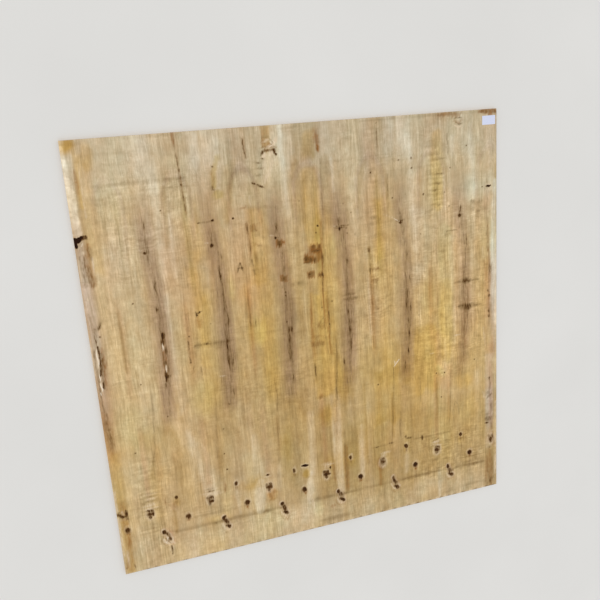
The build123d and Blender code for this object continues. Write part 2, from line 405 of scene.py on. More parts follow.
# Grey-olive and brown bands along the grain: how much darker, width, path
SHADES = [
    (0.3, 14, (425, 1108), (408, 1060), (398, 980)), (0.22, 12, (470, 1100), (484, 1050), (488, 960)),
    (0.3, 16, (590, 1112), (578, 1060), (584, 980)), (0.3, 16, (800, 1108), (782, 1060), (772, 980)),
    (0.25, 12, (850, 1104), (860, 1050), (866, 960)), (0.25, 14, (975, 1104), (964, 1050), (968, 960)),
    (0.25, 12, (1040, 1104), (1050, 1050), (1052, 980)), (0.35, 18, (236, 1084), (232, 1020), (230, 930)),
    (0.25, 9, (82, 1080), (80, 1000), (78, 900)), (0.3, 12, (300, 1090), (308, 1040), (312, 960)),
    (0.3, 12, (430, 800), (432, 700), (428, 600)), (0.2, 10, (1130, 1100), (1134, 1000)),
    (0.3, 12, (120, 333), (112, 290), (112, 270)), (0.25, 7, (507, 339), (507, 242)),
    (0.3, 6, (108, 607), (108, 550)), (0.3, 8, (82, 768), (82, 690), (81, 607)),
    (0.25, 5, (97, 440), (94, 400)), (0.3, 9, (802, 860), (802, 700), (801, 553)),
    (0.35, 10, (763, 440), (762, 300), (760, 180)), (0.3, 8, (855, 400), (853, 250)),
    (0.35, 9, (1006, 400), (1006, 300)), (0.3, 5, (1086, 330), (1090, 280), (1086, 240)),
    (0.3, 8, (600, 1190), (600, 1120)), (0.25, 30, (420, 1130), (402, 1080), (396, 980)),
    (0.25, 26, (590, 1130), (608, 1080), (606, 960)), (0.35, 36, (682, 1120), (682, 1030), (684, 950)),
    (0.25, 14, (310, 330), (305, 230)), (0.3, 16, (692, 255), (692, 180), (690, 100)),
    (0.25, 10, (876, 200), (878, 110)), (0.25, 24, (905, 130), (908, 60)), (0.6, 11, (158, 165), (158, 96)),
    (0.3, 10, (804, 200), (803, 90)), (0.3, 40, (905, 470), (900, 430)),
]
for strength, width, *points in SHADES:
    wash(7, line(width, *points, taper=0.3), tone=-strength, warm=0.3 * strength)
rust(0.38, 5, line(13, (692, 250), (691, 110)), line(9, (803, 185), (803, 100)),
     line(8, (649, 200), (653, 150)))

# Dark strokes along the grain
STROKES = [
    ((140, 540), (134, 440), (128, 370), (112, 300)), ((311, 470), (306, 400), (301, 305)),
    ((494, 480), (487, 400), (482, 250)), ((684, 600), (679, 500), (673, 420), (666, 300)),
    ((861, 450), (856, 380), (852, 290), (846, 230)), ((1056, 430), (1053, 330), (1046, 240)),
    ((668, 1120), (668, 1000), (665, 900), (660, 820)), ((646, 330), (646, 250), (650, 200)),
    ((692, 300), (690, 200), (688, 110)), ((948, 440), (949, 350)), ((880, 330), (877, 250)),
    ((108, 607), (108, 545)), ((1006, 420), (1006, 320)), ((802, 860), (801, 780)), ((82, 770), (82, 600)),
    ((272, 900), (272, 790)),
]
for points in STROKES:
    umber(0.3, 4, line(4, *points, taper=0.5))
    wash(8, line(9, *points, taper=0.5), tone=-0.2)

# Paler bands along the grain
GLEAMS = [
    (0.3, 44, (196, 425), (226, 372), (256, 320), (264, 250), (270, 195)),
    (0.3, 16, (222, 400), (244, 340), (250, 250), (252, 200)),
    (0.3, 16, (212, 800), (212, 560), (216, 460)), (0.3, 14, (243, 1010), (243, 850)),
    (0.7, 36, (418, 195), (412, 150), (410, 105)), (0.35, 26, (412, 345), (420, 200)),
    (0.3, 14, (478, 235), (476, 160)), (0.45, 26, (588, 385), (588, 280), (582, 190)),
    (0.5, 22, (574, 190), (566, 95)), (0.6, 28, (666, 380), (666, 240), (670, 105)),
    (0.7, 18, (747, 310), (743, 142)), (0.45, 9, (656, 425), (655, 330), (654, 220)),
    (0.35, 9, (679, 425), (680, 330), (681, 220)), (0.5, 12, (1008, 100), (1008, 6)),
    (0.3, 16, (712, 420), (714, 330)), (0.45, 11, (342, 215), (350, 110)),
    (0.5, 14, (897, 205), (894, 120)), (0.12, 14, (764, 1110), (764, 900)),
    (0.35, 14, (560, 1220), (560, 1000)), (0.25, 20, (295, 85), (286, 40)),
    (0.3, 12, (796, 780), (796, 600)), (0.16, 30, (938, 1060), (940, 950), (944, 840)),
    (0.2, 20, (1132, 1180), (1136, 1060), (1140, 980)), (0.14, 36, (930, 1160), (935, 1100)),
    (0.3, 16, (1072, 1150), (1074, 1100)), (0.3, 18, (1063, 860), (1066, 700)),
    (0.3, 12, (1158, 760), (1158, 660)), (0.12, 16, (575, 850), (575, 800)),
    (0.35, 10, (560, 1215), (556, 1150)), (0.3, 10, (1037, 540), (1037, 440)),
    (0.25, 8, (955, 700), (955, 520)), (0.25, 8, (1072, 700), (1072, 520)),
    (0.25, 6, (140, 900), (140, 700)), (0.25, 6, (300, 900), (300, 700)), (0.25, 8, (595, 760), (592, 560)),
    (0.3, 6, (790, 900), (792, 560)), (0.4, 12, (700, 1120), (700, 1030)),
    (0.25, 24, (330, 1210), (330, 1130)), (0.25, 16, (1009, 60), (1006, 4)), (0.2, 40, (60, 130), (60, 60)),
    (0.3, 16, (1148, 420), (1144, 300)),
]
for strength, width, *points in GLEAMS:
    wash(8, line(width, *points, taper=0.3), tone=strength, warm=-0.3 * strength)

# Bands across the grain, where the knife chattered: height, from x, to x, tone, thickness
BANDS = [
    (1102, 60, 300, -0.45, 11), (1104, 296, 480, -0.25, 10), (1103, 124, 156, -0.3, 6),
    (1104, 244, 296, -0.4, 7), (1111, 70, 300, 0.25, 6), (1094, 70, 230, 0.2, 6), (1083, 180, 330, -0.4, 5),
    (1074, 60, 260, 0.2, 6), (999, 80, 220, -0.25, 4), (1108, 780, 960, -0.25, 5),
    (1116, 800, 900, -0.2, 4), (1098, 880, 960, -0.25, 6), (1071, 860, 960, -0.25, 6),
    (577, 40, 100, -0.4, 6), (583, 42, 100, 0.35, 4), (538, 55, 166, 0.4, 6), (530, 70, 160, -0.15, 6),
    (984, 310, 362, -0.4, 4), (953, 155, 202, -0.4, 6), (921, 160, 198, -0.35, 6), (929, 700, 745, -0.3, 8),
    (929, 864, 1010, -0.3, 7), (929, 560, 700, -0.15, 8), (1006, 80, 160, -0.15, 5),
    (742, 145, 211, -0.35, 9), (649, 276, 380, -0.45, 9), (648, 380, 430, -0.2, 6),
    (655, 400, 520, -0.2, 4), (729, 715, 760, -0.5, 6), (717, 712, 790, -0.5, 9), (644, 700, 800, -0.3, 6),
    (605, 700, 760, -0.3, 6), (556, 660, 760, -0.35, 4), (740, 540, 600, -0.25, 14),
    (640, 560, 600, -0.25, 14), (560, 500, 570, -0.2, 6), (515, 978, 1110, -0.45, 5),
    (504, 985, 1070, 0.3, 6), (590, 990, 1140, -0.2, 5), (520, 1060, 1150, -0.2, 5),
    (879, 1046, 1084, -0.45, 4), (1092, 1000, 1060, -0.3, 5), (1084, 1000, 1060, 0.35, 5),
    (715, 1060, 1160, -0.4, 5), (636, 1060, 1166, -0.35, 6), (228, 925, 1050, -0.4, 5),
    (229, 780, 850, -0.25, 5), (234, 970, 1020, 0.45, 4), (99, 155, 300, -0.5, 13),
    (99, 290, 480, -0.7, 13), (97, 560, 640, -0.6, 13), (96, 700, 840, -0.5, 12),
    (98, 870, 1010, -0.55, 12), (98, 925, 1013, -0.3, 5), (96, 1060, 1174, -0.65, 12),
    (125, 1080, 1172, -0.3, 6), (110, 1090, 1172, -0.25, 6), (117, 1090, 1172, 0.2, 5),
    (135, 1100, 1172, 0.2, 5), (126, 60, 112, -0.6, 6), (113, 58, 112, -0.5, 6), (131, 196, 300, -0.5, 7),
    (131, 300, 400, -0.3, 6), (20, 590, 690, -0.5, 14), (25, 1090, 1174, -0.3, 8),
    (24, 1040, 1060, -0.25, 6), (50, 905, 960, -0.25, 4), (98, 420, 440, -0.25, 10),
    (128, 600, 700, -0.2, 6), (142, 200, 380, -0.15, 5), (932, 60, 190, -0.2, 8), (875, 80, 150, -0.15, 8),
    (905, 45, 66, -0.3, 10), (950, 1130, 1166, -0.4, 12), (928, 1150, 1166, -0.4, 10),
    (1125, 1100, 1140, -0.25, 6), (1110, 470, 506, -0.45, 4), (1092, 474, 500, -0.45, 4),
    (1125, 480, 500, -0.3, 6), (272, 1110, 1175, -0.3, 5), (301, 910, 930, 0.4, 4),
    (205, 1040, 1060, 0.35, 6), (760, 300, 340, -0.2, 8), (610, 430, 480, -0.2, 5),
    (680, 380, 480, -0.2, 6), (778, 990, 1040, 0.25, 6), (820, 950, 1090, -0.15, 6),
    (1112, 404, 470, -0.3, 10), (1113, 560, 600, -0.3, 8), (1112, 690, 770, -0.3, 8),
    (1075, 960, 1000, -0.2, 12), (1214, 180, 300, -0.45, 6), (1210, 560, 620, -0.45, 5),
    (1213, 790, 1160, -0.5, 8), (1180, 60, 200, -0.2, 6), (1190, 800, 900, -0.25, 6),
    (1160, 820, 900, -0.2, 5), (925, 780, 880, -0.25, 6), (968, 795, 835, -0.3, 5),
]
for y, x0, x1, strength, thick in BANDS:
    wash(4 if thick < 9 else 8, level(y, x0, x1, thick, 1), tone=strength)

# Rows of short bands, each dark with a light one below it
for number, y in enumerate((342, 331, 318, 305, 293, 280, 262, 249, 237, 226)):
    end = 126 + 9 * math.sin(2 * number)
    wash(5, level(y, 60 + 6 * (number % 3), end, 5, 1), tone=-0.38)
    wash(5, level(y - 6, 62, end - 8, 5, 1), tone=0.32)
for number, y in enumerate((152, 143, 134, 125, 116, 108)):
    wash(5, level(y, 1082 + 8 * (number % 2), 1172, 4.5, 1), tone=-0.4)
    wash(5, level(y - 4.5, 1090, 1172, 4, 1), tone=0.3)
for y in (1130, 1106, 1088, 1072, 1048, 1036, 1021, 1002, 990, 976, 959):
    start = 992 + 9 * math.sin(y)
    wash(5, level(y, start, 1042 + 6 * math.cos(y), 6, 2), tone=-0.42)
    wash(6, level(y - 8, start, 1046, 6, 2), tone=0.25)
for y in (1078, 1060, 1043, 1026, 1009, 993, 976, 960):
    wash(5, level(y, 802 + 4 * math.sin(y), 834, 6, 2), tone=-0.32)
    wash(5, level(y - 7, 804, 832, 5, 2), tone=0.22)

# Brown blots and lines that lie on such bands
umber(0.22, 5, oval(817, 1070, 12, 10), oval(818, 944, 22, 12), oval(836, 936, 12, 10),
      oval(812, 928, 10, 12))
umber(0.4, 4, oval(1031, 1048, 26, 6), oval(1027, 1021, 20, 5), oval(1026, 958, 10, 6),
      oval(1014, 1002, 12, 6))
umber(0.3, 6, oval(1114, 717, 28, 20), oval(1114, 635, 34, 20), oval(1118, 630, 18, 18),
      oval(1094, 642, 22, 8), oval(276, 96, 16, 9), oval(430, 96, 22, 12), oval(592, 100, 14, 8),
      oval(684, 97, 20, 9), oval(1140, 96, 24, 9))
umber(0.3, 4, level(717, 1078, 1160, 8), level(640, 1084, 1140, 8, 2), level(637, 1120, 1166, 8, -2),
      line(3.5, (1062, 246), (1063, 300), (1070, 328), (1080, 318), (1084, 280), taper=0.4))
umber(0.22, 6, oval(1114, 717, 16, 12), oval(1117, 633, 16, 12))
umber(0.25, 5, level(729, 712, 748, 6), oval(1112, 722, 34, 14))
umber(0.15, 6, oval(1134, 640, 40, 14), oval(1100, 636, 30, 20))
umber(0.3, 7, level(716, 714, 758, 11), oval(281, 650, 14, 10), oval(304, 648, 18, 7),
      level(984, 315, 358, 4))
umber(0.5, 3, oval(905, 237, 22, 8), oval(951, 228, 10, 18), oval(951, 226, 6, 12), level(228, 790, 802, 5),
      level(232, 836, 850, 5), oval(894, 244, 8, 8))
umber(0.16, 6, level(228, 925, 1052, 5), level(97, 620, 720, 10), level(97, 870, 1010, 10),
      level(96, 1062, 1172, 10))
umber(0.12, 6, level(22, 596, 690, 12), level(24, 1090, 1174, 8), level(229, 778, 850, 5),
      level(97, 160, 480, 10))
umber(0.7, 3, line(6.5, (486, 1068), (505, 1059), taper=0.4), line(5, (472, 1074), (480, 1070), taper=0.4))
umber(0.35, 3, level(1111, 490, 508, 4), level(1092, 488, 500, 4), level(1125, 490, 500, 5))
umber(0.55, 3, line(5, (300, 744), (284, 736), taper=0.5), line(4, (284, 744), (285, 728), taper=0.4))

# The purple-grey streak's heads and tails, and blotches beside it
wash(8, oval(560, 705, 24, 90), oval(1136, 850, 20, 60), tone=-0.45)
rust(0.16, 8, line(14, (1108, 640), (1108, 500)), line(16, (900, 500), (900, 465)))
rust(0.5, 5, line(13, (190, 698), (188, 650), (186, 600), (184, 560), taper=0.5))
umber(0.62, 4, oval(190, 690, 12, 18), oval(187, 672, 8, 14), oval(192, 648, 6, 24), oval(187, 614, 8, 14))
umber(0.55, 4, oval(185, 578, 9, 22), oval(190, 572, 10, 10), oval(183, 562, 6, 12), oval(192, 600, 5, 22))
pale(0.78, 3, oval(186, 661, 5, 16), oval(188, 599, 5, 18), oval(190, 652, 3, 8))
umber(0.3, 5, line(8, (543, 662), (543, 560), taper=0.5), line(8, (729, 640), (728, 570), taper=0.5),
      oval(548, 655, 12, 16))
umber(0.25, 5, line(7, (363, 700), (362, 560), taper=0.5), line(7, (918, 720), (917, 560), taper=0.5))
umber(0.22, 7, line(8, (686, 625), (682, 540), (677, 470), (672, 410), taper=0.3),
      line(6, (362, 860), (362, 800)))
rust(0.45, 5, line(5, (657, 880), (655, 800), (652, 720), (653, 640), taper=0.3))
rust(0.35, 5, line(6, (663, 730), (662, 640), (665, 560), taper=0.3),
     line(6, (614, 740), (612, 640), (612, 560), taper=0.4))
umber(0.2, 4, line(4, (656, 830), (653, 740), taper=0.3), line(4, (664, 690), (665, 640), taper=0.5))
umber(0.26, 5, level(649, 270, 380, 8, -2), oval(276, 644, 22, 12))
umber(0.14, 8, oval(340, 640, 60, 16))
umber(0.35, 2.5, level(878, 1050, 1086, 3.5), line(3, (1047, 858), (1048, 874), (1052, 878), taper=0.4))
umber(0.3, 4, line(3.5, (648, 672), (640, 660), (634, 650), (640, 640), taper=0.3), oval(645, 655, 6, 6))
rust(0.12, 8, line(20, (1120, 700), (1108, 640), (1102, 560), (1098, 465)))

# Rust-brown stains
rust(0.4, 6, block(616, 658, 838, 888), block(604, 616, 838, 868), line(11, (662, 1182), (663, 1145)),
     line(7, (612, 700), (610, 600)), line(6, (664, 720), (662, 600), (665, 560)), oval(640, 650, 20, 22))
rust(0.95, 4, block(626, 652, 865, 875), block(624, 637, 866, 888), block(645, 653, 862, 888))
rust(0.9, 4, block(603, 615, 838, 862), block(603, 637, 838, 854), block(655, 659, 830, 868),
     block(525, 543, 895, 914), oval(546, 908, 8, 10))
rust(0.6, 5, block(620, 628, 840, 884), block(640, 656, 842, 866))
umber(0.6, 4, oval(609, 849, 12, 15), oval(622, 846, 10, 13), oval(634, 843, 7, 16), oval(638, 869, 26, 7))
umber(0.5, 4, oval(631, 881, 12, 10), oval(649, 880, 6, 13), oval(657, 848, 6, 26), oval(614, 838, 22, 5),
      block(528, 541, 898, 911), oval(535, 897, 8, 10))
rust(0.75, 4, block(609, 631, 792, 813), block(640, 658, 791, 804), block(529, 549, 792, 811))
umber(0.35, 4, block(612, 630, 800, 810), block(611, 622, 794, 806), block(530, 548, 796, 809),
      block(642, 657, 795, 801), oval(623, 428, 12, 8), oval(449, 952, 6, 34), oval(468, 946, 14, 6),
      oval(452, 905, 5, 36), oval(447, 862, 6, 24))
umber(0.35, 3, line(4, (655, 806), (654, 790), (653, 757), taper=0.3), oval(656, 799, 8, 12))
rust(0.6, 4, line(5, (658, 950), (657, 880), (655, 810), taper=0.3),
     line(4, (653, 757), (653, 640), taper=0.5))
umber(0.25, 4, oval(565, 782, 11, 8), oval(582, 782, 11, 8), oval(535, 780, 8, 6), oval(467, 866, 7, 24),
      oval(481, 903, 14, 6), oval(458, 838, 12, 8), oval(488, 862, 5, 12),
      line(3.5, (140, 210), (138, 198), taper=0.4), line(3.5, (315, 212), (311, 196), taper=0.4),
      oval(474, 204, 5, 14), oval(488, 200, 5, 10), oval(566, 178, 12, 4), oval(574, 212, 4, 16))
wash(8, block(560, 598, 775, 790), tone=-0.4)
rust(0.45, 8, line(13, (661, 1201), (661, 1168)))
wash(18, block(620, 653, 1126, 1192), tone=-0.2, warm=0.3)
rust(0.9, 3, oval(663, 1152, 8, 18))
rust(0.38, 5, level(616, 612, 652, 6), block(606, 648, 586, 602), oval(625, 428, 12, 12))
umber(0.14, 5, block(608, 646, 588, 600), oval(612, 596, 10, 16), oval(640, 594, 12, 20))
rust(0.5, 5, block(434, 452, 1009, 1014), block(456, 476, 944, 964), line(7, (447, 968), (447, 942)))
rust(0.3, 5, oval(452, 900, 10, 60), oval(466, 872, 10, 30), block(462, 486, 901, 908))
umber(0.3, 4, oval(459, 957, 7, 12), oval(490, 925, 6, 14), oval(474, 932, 10, 6), oval(484, 880, 6, 10))
umber(0.52, 3.5, line(4, (411, 838), (416, 850), (420, 864), taper=0.3), level(848, 412, 428, 3.5),
      line(4.5, (421, 862), (424, 850), (427, 839), taper=0.3))
rust(0.38, 6, oval(290, 713, 22, 34), oval(800, 850, 9, 18), level(760, 803, 824, 18),
     level(794, 806, 832, 9))
umber(0.42, 3, oval(799, 850, 7, 14), oval(799, 793, 6, 12))
umber(0.2, 4, level(760, 806, 824, 11), level(794, 806, 832, 7))
rust(0.25, 6, line(9, (803, 714), (803, 660)), oval(817, 672, 14, 12))
umber(0.16, 5, line(5, (799, 860), (800, 760), (802, 660), (800, 560), taper=0.4), oval(817, 672, 12, 8))
rust(0.5, 6, line(8, (442, 168), (444, 150), (450, 134), taper=0.3))
rust(0.35, 5, line(5, (436, 134), (450, 128), (466, 134), taper=0.3), oval(459, 158, 12, 16))
wash(8, oval(448, 154, 30, 40), blush=0.9)
wash(8, oval(452, 148, 32, 38), oval(560, 190, 20, 28), warm=0.2)
wash(8, oval(453, 148, 30, 34), tone=-0.3)
wash(11, oval(562, 191, 19, 27), tone=-0.7)
wash(11, oval(562, 191, 20, 28), warm=0.3)
wash(11, oval(562, 191, 24, 30), blush=-0.1)
wash(6, oval(452, 132, 34, 8), tone=-0.35)
rust(0.3, 6, line(5, (546, 195), (556, 168), (556, 150), taper=0.3), oval(313, 208, 8, 30, 15),
     oval(310, 195, 5, 16), oval(158, 190, 30, 9), oval(161, 180, 16, 16),
     line(5, (314, 212), (312, 200), (310, 186), taper=0.4))
rust(0.4, 5, line(4, (139, 212), (137, 193), taper=0.3), oval(640, 60, 16, 14), oval(490, 58, 16, 10))
pale(0.15, 8, line(22, (668, 330), (670, 112)), line(11, (746, 260), (743, 148)),
     line(9, (896, 195), (894, 125)))
pale(0.35, 6, line(16, (414, 175), (409, 112), taper=0.3), line(10, (570, 165), (564, 100), taper=0.3))

# Knife gouge and dash that go through the face ply
pale(0.4, 5, oval(558, 219, 26, 17))
umber(1, 2.5, level(220, 549, 568, 9, -1.5), level(219.5, 551, 566, 8, -1), level(998, 1184, 1201, 6.5),
      oval(1172, 998, 5, 3))
pale(0.5, 4, oval(1192, 1004, 24, 6), oval(1193, 989, 22, 6))
# How much deeper than the face ply these two pits go
PIT_SINK = 0.9
dent(FACE_PLY + PIT_SINK, 1.5, level(220, 551, 566, 6, -1), level(998, 1185, 1200, 4.5))

# Torn resin pocket with its dark legs
rust(0.3, 5, block(507, 530, 1164, 1219))
umber(0.25, 5, block(507, 528, 1187, 1194), line(4, (509, 1166), (525, 1164), taper=0.4))
wash(8, block(507, 532, 1164, 1219), warm=0.3)
umber(0.3, 4, oval(508, 1150, 7, 9, -20), line(4, (514, 1155), (538, 1156), taper=0.4))
wash(8, block(508, 540, 1160, 1216), blush=0.2)
umber(0.55, 4, oval(507, 1150, 8, 11, -20), oval(541.5, 1152, 6, 12), oval(545, 1143, 7, 7))
rust(0.4, 5, oval(531, 1170, 14, 10), oval(512, 1176, 12, 14))
umber(0.25, 4, line(4, (528, 1194), (532, 1184), (540, 1178), (535, 1171), taper=0.4))
pale(0.55, 4, line(6, (512, 1178), (528, 1184), taper=0.5), line(8, (520, 1164), (538, 1168), taper=0.5))
pale(0.9, 5, oval(512, 1144, 12, 12, 30), oval(510, 1139, 12, 6), oval(532, 1148, 12, 14),
     oval(545, 1178, 10, 22, -30))
rust(0.5, 3, line(5, (508, 1164), (548, 1164), taper=0.5), line(4, (526, 1178), (536, 1170), taper=0.5))
rust(0.7, 4, block(512, 540, 1151, 1159))
umber(0.35, 4, line(6, (504, 1144), (508, 1152), (520, 1157), (530, 1153), (541, 1158), taper=0.2))
umber(0.62, 3, line(5, (541, 1158), (541, 1148), (546, 1142), taper=0.2), oval(506, 1135, 7, 4))
pale(0.3, 12, line(22, (530, 1140), (520, 1110), (510, 1080), taper=0.3))
wash(12, line(40, (540, 1140), (516, 1080), (508, 1066), taper=0.3), line(30, (565, 1180), (560, 1090)),
     tone=0.35)
pale(0.5, 5, line(7, (505, 1110), (516, 1134), taper=0.5), line(8, (520, 1090), (535, 1130), taper=0.5),
     line(6, (508, 1070), (520, 1095), taper=0.5))
wash(3, level(1207, 536, 546, 4), level(1163, 500, 512, 4), tone=-0.4)
dent(0.45, 2, line(4, (504, 1143), (508, 1152), (540, 1156), (545, 1142)), block(509, 532, 1187, 1195))

# Torn gap in the left edge and its ledge, both dark with painted shadow, and the brown splintered place below
# it
# Painted shadow in the gap: black where it goes down through the plies
umber(1, 2, line(12, (3.5, 974), (8, 970), (13, 974)), line(9, (3, 972), (4, 957)),
      line(8, (14, 976), (20, 980)))
# Painted shadow on the lower ply that the ledge shows
umber(0.5, 3, block(17, 34, 972, 984), oval(26, 979, 16, 11))
pale(0.4, 4, line(4, (0, 986), (12, 988), (22, 990)), line(4, (8, 950), (20, 962), taper=0.4))
dent(FACE_PLY, 1.2, block(15, 34, 972, 984))
dent(FACE_PLY + CROSS_PLY, 1.2, line(11, (3, 974), (8, 970), (12, 974)), line(8, (3, 972), (4, 957)))
rust(0.4, 8, line(16, (26, 955), (24, 900), (31, 848), taper=0.3), line(8, (33, 955), (35, 850)))
umber(0.35, 6, line(7, (33, 952), (35, 920), taper=0.3),
      line(8, (20, 930), (16, 915), (20, 880), (26, 850), taper=0.6))
umber(0.35, 5, line(5, (7, 930), (10, 880), (12, 850), taper=0.3), line(5, (27, 900), (34, 850), taper=0.3))
pale(0.7, 4, oval(18, 939, 8, 8), line(4, (38, 925), (36, 880), taper=0.4), oval(12, 818, 5, 12),
     oval(4, 900, 6, 60))

# The pale strip along the left edge at the top, with yellow-brown patches beside it
STRIP = [(0, 1222), (6, 1199), (10, 1163), (14, 1116), (17, 1088), (18, 1055), (20, 1019), (22, 992)]
wash(3.5, *[line(2 * x + 6, (0, y0), (0, y1)) for (x, y0), (_, y1) in zip(STRIP, STRIP[1:])], tone=0.8)
wash(14, oval(22, 1202, 30, 34), oval(60, 1180, 32, 66), line(14, (33, 1180), (33, 1060)), warm=0.3)
wash(14, oval(22, 1206, 26, 34), oval(60, 1185, 30, 60), line(14, (30, 1144), (30, 1083)), tone=-0.3)
rust(0.5, 6, line(8, (27, 1146), (29, 1081), taper=0.7))
wash(24, block(26, 66, 880, 1180), warm=0.18)
pale(0.4, 6, line(5, (38, 1160), (38, 1030), taper=0.5))

# The left edge further down: pinkish with long splinters, then purple-brown, then a yellowish strip
wash(10, block(-2, 30, 700, 850), tone=0.3)
wash(10, block(-2, 30, 460, 860), blush=0.5)
rust(0.35, 6, line(13, (26, 668), (30, 640), (25, 612), taper=0.5))
rust(0.4, 8, line(12, (26, 684), (28, 640), (24, 565), taper=0.5),
     line(20, (8, 500), (16, 440), (12, 370), taper=0.6))
umber(0.4, 8, line(12, (8, 480), (16, 430), (18, 390), taper=0.7), line(6, (36, 754), (25, 734)))
wash(12, block(0, 30, 380, 520), tone=-0.25)
# Painted shadow along the right side of the long splinters, over the grooves sunk there
umber(0.75, 2.5, line(5, (18, 688), (20, 650), (18, 625), (15, 607)), line(3, (18, 586), (17, 570)))
umber(0.4, 4, line(8, (34, 751), (31, 742), (27, 734), taper=0.4), oval(28, 713, 7, 6),
      line(4, (7, 680), (6, 640), (9, 600), (8, 545)), line(3, (9, 780), (15, 720), (16, 692)),
      line(6, (24, 668), (27, 650), (20, 600), (20, 570)), line(5, (6, 540), (14, 480)),
      line(6, (8, 197), (2, 190)), oval(14, 181, 14, 9), oval(27, 188, 8, 14), level(182, 16, 26, 5))
umber(0.35, 3, line(4, (18, 738), (17, 700), taper=0.3), line(4, (9, 572), (8, 545), taper=0.4))
pale(0.9, 3, line(4.5, (14.5, 683), (13.5, 650), (12, 628), taper=0.6),
     line(4.5, (12.5, 589), (13, 561), taper=0.5))
pale(0.7, 3, line(4, (12.5, 613), (11.5, 591), taper=0.5), line(4, (9, 562), (8, 553), taper=0.5))
pale(0.5, 3, line(5, (0, 700), (1, 610)), line(3, (19, 700), (18, 690)))
wash(8, block(6, 31, 200, 380), warm=0.2)
wash(8, block(6, 31, 190, 380), tone=-0.25)
rust(0.35, 7, line(18, (20, 224), (20, 12)), line(10, (26, 120), (22, 90)))
wash(5, line(5, (31, 380), (31, 0)), tone=-0.35)
# Painted highlight along the left arris in the first two lines, and a pale line further in
pale(0.5, 5, line(8, (2, 180), (4, 60)), line(7, (2, 262), (2, 200)),
     line(6, (13, 75), (14, 20), taper=0.5))
umber(0.55, 4, line(8, (-1, 193), (9, 187), (18, 181), taper=0.2),
      line(9, (28, 199), (27, 186), (28, 173), taper=0.2))
umber(0.45, 4, oval(11, 188, 14, 9, -20), oval(20, 183, 12, 8), oval(27, 190, 8, 10))
pale(0.5, 4, line(4, (15, 199), (17, 190)))
wash(6, oval(20, 190, 12, 10), block(8, 31, 150, 175), blush=0.6)
umber(0.45, 3, line(3, (26, 30), (31, 8), taper=0.5), oval(5, 18, 4, 6))
rust(0.4, 5, line(7, (11, 40), (6, 14), taper=0.5), line(7, (24, 110), (22, 88), taper=0.3))
wash(8, block(5, 29, 0, 170), warm=0.3)
dent(0.8, 2, line(5, (0, 193), (9, 187), (18, 182)), line(6, (28, 196), (27, 176)))
dent(0.6, 1.5, line(2.5, (17, 686), (19, 650), (17, 615)), line(2.5, (17.5, 588), (17, 565)))

# The right edge: a smooth pale strip with a brown line beside it, and brown wood low down
wash(8, line(30, (1220, 570), (1218, 1010), taper=0.4), tone=0.75)
wash(8, line(10, (1220, 430), (1220, 640), taper=0.4), tone=0.4)
wash(8, line(34, (1218, 480), (1217, 1010), taper=0.5), warm=-0.3)
wash(10, block(1178, 1224, 140, 470), tone=0.25, warm=-0.2)
wash(8, block(1180, 1204, 160, 500), block(1176, 1200, 590, 1000), blush=0.5)
umber(0.25, 5, line(3, (1190, 964), (1191, 930)), line(4, (1190, 880), (1190, 800)),
      line(4, (1196, 760), (1192, 700)))
rust(0.3, 7, line(6, (1190, 900), (1190, 800), (1194, 700), (1191, 620), taper=0.5),
     line(5, (1176, 600), (1182, 500), taper=0.5))
umber(0.5, 3, oval(1191, 676, 8, 10), oval(1194, 660, 9, 10), oval(1193, 611, 6, 10),
      oval(1192, 594, 7, 10))
umber(0.3, 4, oval(1183, 761, 8, 8), oval(1199, 745, 6, 26), oval(1178, 655, 6, 14),
      line(3, (1187, 860), (1188, 810)))
pale(0.3, 4, line(5, (1174, 560), (1180, 500), taper=0.5), line(4, (1172, 820), (1172, 780), taper=0.5))
umber(0.2, 5, oval(1196, 744, 12, 30), oval(1178, 700, 10, 16),
      line(8, (1200, 640), (1192, 560), taper=0.4))
rust(0.35, 5, line(5, (1190, 890), (1193, 800), (1199, 740), (1193, 660), (1194, 590), taper=0.4))
rust(0.3, 5, line(4, (1202, 760), (1201, 690), taper=0.5),
     line(5, (1176, 780), (1184, 730), (1180, 690), taper=0.5))
umber(0.3, 6, oval(1139, 957, 16, 12), oval(1163, 956, 16, 10), oval(1156, 927, 16, 10),
      oval(1140, 936, 8, 14), level(1214, 1168, 1200, 12), level(1212, 1206, 1222, 10))
wash(12, oval(1148, 944, 44, 40), tone=-0.22)
umber(0.7, 3, oval(1184, 231, 10, 7), level(231, 1176, 1192, 4))
umber(0.4, 6, oval(1190, 245, 28, 20), oval(1201, 288, 8, 26), line(4, (1199, 232), (1200, 200), taper=0.4))
umber(0.35, 4, line(6, (1190, 390), (1196, 370), (1192, 320), taper=0.4), line(6, (1186, 320), (1200, 330)))
rust(0.42, 9, line(17, (1193, 134), (1197, 60), (1197, 8), taper=0.3),
     line(10, (1183, 110), (1180, 20), taper=0.3))
umber(0.25, 7, oval(1203, 90, 8, 60), oval(1189, 60, 6, 50), oval(1196, 20, 16, 14), oval(1184, 12, 10, 12))
wash(14, oval(1194, 300, 30, 120), tone=0.35)
wash(14, oval(1194, 290, 32, 150), warm=-0.45)
umber(0.3, 5, oval(1188, 335, 8, 14), oval(1186, 262, 20, 8), oval(1197, 318, 5, 20),
      oval(1195, 386, 5, 10))
pale(0.5, 4, line(4, (1172, 345), (1175, 318), taper=0.5), oval(1205, 262, 6, 14))
umber(0.35, 5, oval(1196, 143, 12, 8), line(8, (1190, 40), (1197, 8), taper=0.4), oval(1203, 30, 14, 10))
pale(0.45, 5, line(6, (1217, 300), (1217, 60)), line(7, (1214, 110), (1214, 40), taper=0.4))
wash(5, line(5, (1179, 140), (1179, 0)), tone=-0.3)
rust(0.75, 6, level(1213, 1162, 1224, 18))
rust(0.45, 6, level(1213, 1028, 1104, 14))

